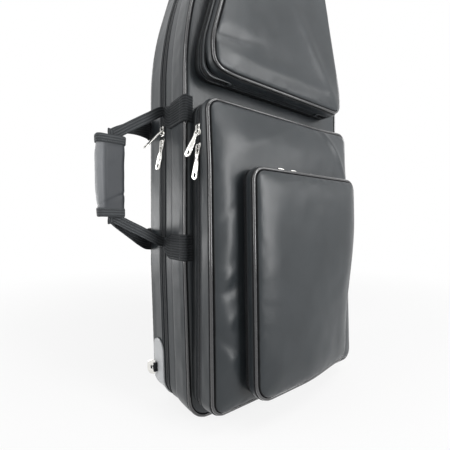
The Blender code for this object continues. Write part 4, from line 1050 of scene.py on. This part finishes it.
def grip_half(height):
    """The wrap is held a little wider at its top than at its bottom."""
    share = (height - GRIP_LOW) / (GRIP_HIGH - GRIP_LOW)
    return GRIP_HALF * (0.95 + 0.09 * share + 0.05 * between(share, 0.85, 1.0))


def wrap_path(height):
    """Points and outward normals of the C round the loops, from one lip of its mouth to the other."""
    half, side_run = grip_half(height), GRIP_BACK - GRIP_FRONT - GRIP_ROUND
    path = [(Vector((GRIP_X + half, GRIP_BACK - side_run * n / 6)), Vector((1, 0))) for n in range(6)]
    for side, start in ((1, 0.0), (-1, -pi / 2)):
        centre = Vector((GRIP_X + side * (half - GRIP_ROUND), GRIP_FRONT + GRIP_ROUND))
        for n in range(9):
            angle = start - pi / 2 * n / 8
            out = Vector((cos(angle), sin(angle)))
            path.append((centre + out * GRIP_ROUND, out))
        if side > 0:
            width = 2 * (half - GRIP_ROUND)
            path += [(Vector((centre.x - width * n / 12, GRIP_FRONT)), Vector((0, -1))) for n in range(1, 12)]
    return path + [(Vector((GRIP_X - half, GRIP_FRONT + GRIP_ROUND + side_run * n / 6)), Vector((-1, 0)))
                   for n in range(1, 7)]


def grip_drift(height):
    """The wrap bows away from the case at its middle."""
    share = (height - GRIP_LOW) / (GRIP_HIGH - GRIP_LOW)
    return -0.0016 * sin(pi * share) + 0.0012 * (1 - share)


def wrapped(name, rows, skin, swell):
    """A C-shaped piece round the loops: each row is (offset, height); swell raises its outer cloth."""
    places, cloth = [], []
    for offset, height in rows:
        reach, last = 0.0, None
        for point, out in wrap_path(height):
            raised = point + out * (offset + (swell(point.x - GRIP_X, height, out) if offset > -0.002 else 0.0))
            reach += (point - last).length if last else 0.0
            last = point
            places.append((raised.x + grip_drift(height), raised.y, height))
            cloth.append((reach, height + offset))
    sides, count, faces = len(rows), len(places) // len(rows), []
    for j in range(sides):
        for n in range(count - 1):
            a, b = j * count + n, ((j + 1) % sides) * count + n
            faces.append((a, a + 1, b + 1, b))
    faces += [tuple(j * count for j in range(sides)), tuple(j * count + count - 1 for j in range(sides))]
    return turned_out(name, smooth_mesh(name, places, faces, skin, cloth), 60)


def grip_swell(x, height, out):
    """The wrap's flap is one layer higher, and the foam is full between the bindings and creases low down."""
    flap = between(x, -0.0098, -0.0088) * 0.0009 * max(0.0, -out.y) * between(GRIP_HIGH - height, 0.014, 0.0155)
    seam = exp(-((x + 0.0106) / 0.0007) ** 2) * -0.0006 * max(0.0, -out.y)
    near = between(height, GRIP_LOW + 0.010, GRIP_LOW + 0.026) * between(GRIP_HIGH - height, 0.010, 0.026)
    crease = exp(-((height - GRIP_LOW - 0.022 - 0.5 * (x + 0.004)) / 0.0022) ** 2) * -0.0010
    soft = rumple(Vector((x, out.x * 0.01, height)), 0.02, 71) * 0.0007
    return 0.0003 + near * 0.0010 + flap + seam + crease + soft


EDGE_TURN, GRIP_ROWS = 0.0006, 64
heights = [GRIP_LOW + EDGE_TURN + (GRIP_HIGH - GRIP_LOW - 2 * EDGE_TURN) * n / GRIP_ROWS for n in range(GRIP_ROWS + 1)]
rows = [(0.0, height) for height in heights]
rows += [(-GRIP_WALL / 2, GRIP_HIGH), (-GRIP_WALL, GRIP_HIGH - EDGE_TURN)]
rows += [(-GRIP_WALL, height) for height in heights[::-8]][1:-1]
rows += [(-GRIP_WALL, GRIP_LOW + EDGE_TURN), (-GRIP_WALL / 2, GRIP_LOW)]
stands_for(wrapped("grip_cloth", rows, coated, grip_swell), "grip_wrap", "front_handle")


def binding_swell(x, height, out):
    """The bindings are only a little uneven."""
    return rumple(Vector((x, out.x * 0.01, height)), 0.012, 77) * 0.0003


# A binding's section: how far it stands out from the wrap, and how far from the wrap's end it lies.
BINDING_PROFILE = ((0.0006, 0.0118), (0.0015, 0.0115), (0.0018, 0.0100), (0.0018, 0.0060), (0.0018, 0.0020),
                   (0.0016, 0.0003), (0.0009, -0.0007), (-0.0010, -0.0010), (-0.0030, -0.0008),
                   (-0.0036, 0.0002), (-0.0030, 0.0003), (0.0004, 0.0004))
STITCHES_FROM_END, STITCHES_OUT = 0.0092, 0.0021
for place, end, inward in (("upper", GRIP_HIGH, -1), ("lower", GRIP_LOW, 1)):
    rows = [(offset, end + inward * depth) for offset, depth in BINDING_PROFILE]
    made = wrapped("grip_end_binding_" + place, rows, webbing, binding_swell)
    stands_for(made, "grip_binding_" + place, "front_handle")


# Sewing on the handle: a box of stitches on every anchor, and one row round each binding, in the same thread.
side_x, back_y, edge = ANCHOR_X - WEB_HALF - 0.0001, BACK_Y + 0.0006 + WEBBING_THICK, ANCHOR_HALF - 0.0026
for place, neck, below, rear_height in ANCHORS:
    for name, body, out, corners in (
        ("front_anchor_stitches_" + place, "lid", Vector((-1, 0, 0)),
         [(side_x, y, neck - below + z)
          for y, z in ((-0.098, -edge), (-0.070, -edge), (-0.070, edge), (-0.098, edge), (-0.098, -edge))]),
        ("rear_anchor_stitches_" + place, "base", Vector((0, 1, 0)),
         [(x, back_y, rear_height + z)
          for x, z in ((-0.1505, -edge), (-0.1650, -edge), (-0.1650, edge), (-0.1505, edge), (-0.1505, -edge))]),
    ):
        lines = [[(Vector(a), out), (Vector(b), out)] for a, b in zip(corners, corners[1:])]
        stitched(name, lines, body)
for place, height in (("upper", GRIP_HIGH - STITCHES_FROM_END), ("lower", GRIP_LOW + STITCHES_FROM_END)):
    row = [(Vector((point.x + out.x * STITCHES_OUT + grip_drift(height), point.y + out.y * STITCHES_OUT, height)),
            Vector((out.x, out.y, 0))) for point, out in wrap_path(height)]
    stitched("grip_binding_stitches_" + place, [row], "front_handle")


# Hardware: zip sliders and pulls die-cast and nickel plated, and D-rings of bent wire with the same plating.
# Their edges are broken, and handling has left fine marks.
nickel, thread, shader = finish("nickel_plate", (0.80, 0.79, 0.76), 0.20, 1.0)
marks = clouds(thread, 0.0035, 4.0)
dressed(thread, shader, tinted(thread, marks, (0.70, 0.69, 0.66), (0.90, 0.89, 0.86)), marks * 0.18 + 0.13,
        clouds(thread, 0.0012), 0.0001, 0.25)
HOLE_GROWN, HOLE_FROM_END, HOLE_HALF_LONG, HOLE_HALF_WIDE = 1.30, 0.0055, 0.0036, 0.0024
DOUBLES, BROKEN_ABOVE, SHARP_ABOVE = 0.00002, radians(28), radians(38)


def longest(shape):
    """The way from one end of a flat tab to the other."""
    shape.verts.ensure_lookup_table()
    shape.verts.index_update()
    _, a, b = max(((a.co - b.co).length, a.index, b.index) for a in shape.verts for b in shape.verts)
    return shape.verts[a].co - shape.verts[b].co


def open_hole(shape, hinge):
    """The oval hole at the tab's far end, drawn a little larger."""
    along = longest(shape).normalized()
    if along.dot(sum((vert.co for vert in shape.verts), Vector()) / len(shape.verts) - hinge) <= 0:
        along = -along
    far = max((vert.co - hinge).dot(along) for vert in shape.verts) - HOLE_FROM_END
    for vert in shape.verts:
        run = along * ((vert.co - hinge).dot(along) - far)
        off = vert.co - hinge - along * far - run
        if run.length < HOLE_HALF_LONG and off.length < HOLE_HALF_WIDE:
            vert.co = hinge + along * far + run * HOLE_GROWN + off * HOLE_GROWN


def merged(name, node):
    """A mesh and its edit copy of a CAD node, whose loose triangles are joined."""
    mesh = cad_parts[node].data.copy()
    mesh.name = name
    mesh.materials.clear()
    shape = bmesh.new()
    shape.from_mesh(mesh)
    shape.transform(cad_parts[node].matrix_world)
    bmesh.ops.remove_doubles(shape, verts=shape.verts, dist=DOUBLES)
    return mesh, shape


def applied(made):
    """The object with its modifiers applied."""
    whole = bpy.data.meshes.new_from_object(made.evaluated_get(bpy.context.evaluated_depsgraph_get()))
    made.modifiers.clear()
    made.data = whole
    return made


def eased(name, node, skin, edge, body, swell=0.0, grow=1.0, twist=None, hinge=None):
    """A merged copy of a cast or bent piece, with its edges broken; a pull may hang twisted about its length."""
    mesh, shape = merged(name, node)
    bmesh.ops.dissolve_limit(shape, angle_limit=radians(2), verts=shape.verts, edges=shape.edges)
    low, high = (Vector(corner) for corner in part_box(node))
    centre = Matrix.Translation(hinge or (low + high) / 2)
    if hinge:
        open_hole(shape, hinge)
    turn = Matrix.Identity(4)
    if twist:
        length = longest(shape)
        turn = Matrix.Rotation(twist * (1 if length.z > 0 else -1), 4, length)
    shape.transform(centre @ turn @ Matrix.Scale(grow, 4) @ centre.inverted())
    if swell:
        shape.normal_update()
        for vert, push in [(vert, vert.normal * swell) for vert in shape.verts]:
            vert.co += push
    shape.to_mesh(mesh)
    shape.free()
    mesh.materials.append(skin)
    mesh.shade_smooth()
    made = linked(name, mesh)
    if edge:
        bevel = made.modifiers.new("edges", "BEVEL")
        bevel.width, bevel.segments, bevel.limit_method, bevel.angle_limit = edge, 2, "ANGLE", BROKEN_ABOVE
        bevel.harden_normals = False
    else:
        rounded = made.modifiers.new("round", "SUBSURF")
        rounded.levels = rounded.render_levels = 2
    applied(made)
    if edge:
        made.data.set_sharp_from_angle(angle=SHARP_ABOVE)
    stands_for(made, node, body)
    return made


SLIDER_GROWN, SMALL_SLIDER_GROWN, TAB_GROWN = 1.20, 1.35, 1.14
SLIDER_EDGE, TAB_EDGE, RING_SWELL = 0.00024, 0.00030, 0.00018
for stem, twist in (("main_slider_upper", 12), ("main_slider_lower", 32), ("large_slider_upper", 30),
                    ("large_slider_lower", 20), ("small_slider_left", 0), ("small_slider_right", 0),
                    ("upper_slider_left", 0), ("upper_slider_right", 0)):
    low, high = (Vector(corner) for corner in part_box(stem))
    grow = SMALL_SLIDER_GROWN if stem.startswith("small") else SLIDER_GROWN
    eased(stem + "_cast", stem, nickel, SLIDER_EDGE, stem, grow=grow)
    eased(stem + "_tab", stem + "_pull", nickel, TAB_EDGE, stem + "_pull", grow=TAB_GROWN,
          twist=radians(twist), hinge=(low + high) / 2)

for side in ("left", "right"):
    eased(side + "_ring_wire", side + "_d_ring", nickel, 0, side + "_ring", RING_SWELL)
    made = eased(side + "_ring_webbing", side + "_ring_tab", webbing, 0.0003, "base")
    cloth_map = made.data.uv_layers.new(name="cloth")
    for loop in made.data.loops:
        place = made.data.vertices[loop.vertex_index].co
        cloth_map.data[loop.index].uv = (place.x + place.y, place.z)


# Corner guards: shells of moulded pale plastic that wrap the bottom corners of the back shell. Each has a
# raised border, narrows to a round above and below, and is lightly scuffed.
GUARD_TOP, GUARD_LOW_Y, GUARD_HIGH_Y, GUARD_THICK = 0.096, -0.0285, 0.0092, 0.0013
GUARD_BORDER, BORDER_WIDTH, GUARD_ROUND, GUARD_COLUMNS = 0.0006, 0.0022, 0.017, 18
guard_plastic, thread, shader = finish("moulded_pale_plastic", (0.44, 0.45, 0.455), 0.42, Coat_Weight=0.1)
scuffs = clouds(thread, 0.012, 5.0)
dressed(thread, shader, tinted(thread, scuffs * 0.8, (0.35, 0.36, 0.37), (0.50, 0.51, 0.52)),
        scuffs * 0.22 + 0.30, clouds(thread, 0.0009), 0.0001, 0.5)


def corner_guard(name, node, side):
    """A guard on one side, whose rows follow the case's corner."""
    rows = []
    for k, (point, normal) in enumerate(CASE_CUT.samples):
        if side * point.x > 0 and point.y <= GUARD_TOP and -normal.y < cos(radians(25)):
            rows.append((point.y, k))
    rows.sort()
    middle, half = (GUARD_LOW_Y + GUARD_HIGH_Y) / 2, (GUARD_HIGH_Y - GUARD_LOW_Y) / 2
    reach = [0.0]
    for (_, k), (_, m) in zip(rows, rows[1:]):
        reach.append(reach[-1] + (CASE_CUT.samples[k][0] - CASE_CUT.samples[m][0]).length)
    outer, inner = [], []
    for (_, k), along in zip(rows, reach):
        left = reach[-1] - along
        width = half * sqrt(max(0.0, 1 - max(0.0, 1 - (left + 0.0006) / GUARD_ROUND) ** 2))
        for n in range(GUARD_COLUMNS + 1):
            v = -cos(pi * n / GUARD_COLUMNS)
            edge = min(width * (1 - abs(v)), left + 0.0001, along + 0.0001)
            border = between(edge, 0.0, 0.0006) * (1 - between(edge, BORDER_WIDTH - 0.0006, BORDER_WIDTH))
            lift = GUARD_THICK * between(edge, -0.0006, 0.0008) + GUARD_BORDER * border
            outer.append(CASE_CUT.at(k, -0.0003 - lift, middle + width * v))
            inner.append(CASE_CUT.at(k, -0.0002, middle + width * v))
    count, wide, faces = len(rows), GUARD_COLUMNS + 1, []
    for j in range(count - 1):
        for n in range(GUARD_COLUMNS):
            a = j * wide + n
            faces.append((a, a + 1, a + 1 + wide, a + wide))
            faces.append(tuple(len(outer) + m for m in (a + wide, a + 1 + wide, a + 1, a)))
    rim = list(range(wide)) + [j * wide + GUARD_COLUMNS for j in range(1, count)]
    rim += [(count - 1) * wide + n for n in range(GUARD_COLUMNS - 1, -1, -1)]
    rim += [j * wide for j in range(count - 2, 0, -1)]
    for a, b in zip(rim, rim[1:] + rim[:1]):
        faces.append((a, b, b + len(outer), a + len(outer)))
    mesh = smooth_mesh(name, [tuple(place) for place in outer + inner], faces, guard_plastic)
    stands_for(turned_out(name, mesh, 50), node, "base")


for place, side in (("left", -1), ("right", 1)):
    corner_guard("moulded_guard_" + place, "corner_guard_" + place, side)


# Fitted tray and lid pad: foam covered in the plush. The tray is one block with a lane for each joint of the
# instrument, and the pad, which closes over it, is crossed by sewn channels.
TRAY_VOXEL = 0.0034
mesh, shape = merged("fitted_tray_foam", "fitted_tray")
shape.to_mesh(mesh)
shape.free()
mesh.materials.append(plush)
block = linked("fitted_tray_foam", mesh)
cover = block.modifiers.new("cover", "REMESH")
cover.mode, cover.voxel_size, cover.use_smooth_shade = "VOXEL", TRAY_VOXEL, True
ease = block.modifiers.new("ease", "SMOOTH")
ease.factor, ease.iterations = 0.5, 6
stands_for(applied(block), "fitted_tray", "base")

PAD_BACK, PAD_FRONT = -0.0987, -0.0830
PAD_BOX, CHANNEL_HEIGHTS, CHANNEL_WIDTH = (-0.172, 0.172, 0.008, 0.762), (0.20, 0.39, 0.58), 0.0055


def pad_sag(place):
    """The pad is full between its edge and the sewn channels that cross it."""
    if place.y < PAD_FRONT:
        return Vector()
    deep = edge_distance(place, PAD_BOX)
    channel = sum(exp(-((place.z - height) / CHANNEL_WIDTH) ** 2) for height in CHANNEL_HEIGHTS)
    full = between(deep, 0.0, 0.028) * 0.0038 * (1 - min(1.0, channel))
    return Vector((0, full + rumple(place, 0.07, 91) * 0.0006 * between(deep, 0.005, 0.03), 0))


pad_stations = [(0.0080, PAD_BACK, 0), (0.0074, PAD_BACK + 0.0010, 0)]
pad_stations += [(0.0074, y, 0) for y in steps_between(PAD_BACK + 0.0010, PAD_FRONT - 0.0030, 4)]
pad_stations += [(0.0080, PAD_FRONT - 0.0015, 0), (0.0096, PAD_FRONT - 0.0004, 0), (0.0125, PAD_FRONT, 0)]
stands_for(panel("lid_plush_pad", CASE_CUT, pad_stations, [plush], sag=pad_sag), "lid_pad", "lid")


# The room: a pale floor that keeps the case's shadow, a white backdrop, and soft boxes as for a product
# photograph. The left one lights the side, and the front one gives the cloth its sheen.
FLOOR_HEIGHT, FLOOR_HALF, ROOM_LEVEL = -0.0006, 8, 0.20
floor_paint, thread, shader = finish("pale_floor", (0.90, 0.90, 0.90), 0.7)


def backdrop_rays(thread):
    """1 for a ray from the camera, in a reflection or through glass, which sees the backdrop, and 0 for others."""
    rays = thread.tree.nodes.new("ShaderNodeLightPath")
    camera_ray, glossy, through = (Thread(thread.tree, rays.outputs["Is %s Ray" % kind])
                                   for kind in ("Camera", "Glossy", "Transmission"))
    return thread.maths("MINIMUM", camera_ray + glossy + through, 1.0)


glow = thread.node("Emission", {}, {"Color": (1, 1, 1, 1), "Strength": 1.0})
east, north, _ = own_places(thread).split()
away = faded(thread, thread.maths("SQRT", east * east + north * north), 0.45, 1.6, 0.84, 1.0)
painted = Thread(thread.tree, shader.outputs[0])
mixed = thread.node("MixShader", {}, {0: backdrop_rays(thread) * away, 1: painted, 2: glow})
thread.tree.links.new(mixed.socket, thread.tree.nodes["Material Output"].inputs["Surface"])
corners = [(x * FLOOR_HALF, y * FLOOR_HALF, FLOOR_HEIGHT) for x, y in ((-1, -1), (1, -1), (1, 1), (-1, 1))]
mesh = bpy.data.meshes.new("floor")
mesh.from_pydata(corners, [], [(0, 1, 2, 3)])
mesh.materials.append(floor_paint)
linked("floor", mesh)
world = bpy.data.worlds.new("room")
bpy.context.scene.world = world
world.use_nodes = True
backdrop = world.node_tree.nodes["Background"]
strength = backdrop_rays(Thread(world.node_tree)) * (1 - ROOM_LEVEL) + ROOM_LEVEL
world.node_tree.links.new(strength.socket, backdrop.inputs["Strength"])
backdrop.inputs["Color"].default_value = (1, 1, 1, 1)
for name, place, target, size, power in (
    ("left_softbox", (-1.60, 0.26, 0.84), (0, -0.05, 0.35), (0.9, 1.4), 13.5),
    ("rear_left_softbox", (-1.20, 1.25, 0.26), (-0.1, -0.05, 0.2), (1.1, 0.48), 7.0),
    ("front_softbox", (0.46, -1.80, 0.72), (0, -0.1, 0.35), (0.45, 1.4), 29),
    ("front_right_softbox", (1.30, -1.75, 0.95), (0, -0.1, 0.4), (0.6, 0.6), 7),
    ("top_softbox", (0.0, -0.95, 1.75), (0, 0, 0.35), (1.2, 0.6), 10),
):
    lamp = bpy.data.lights.new(name, "AREA")
    lamp.shape, lamp.energy = "RECTANGLE", power
    lamp.size, lamp.size_y = size
    box = linked(name, lamp)
    box.location = place
    box.rotation_euler = (Vector(target) - Vector(place)).to_track_quat("-Z", "Y").to_euler()
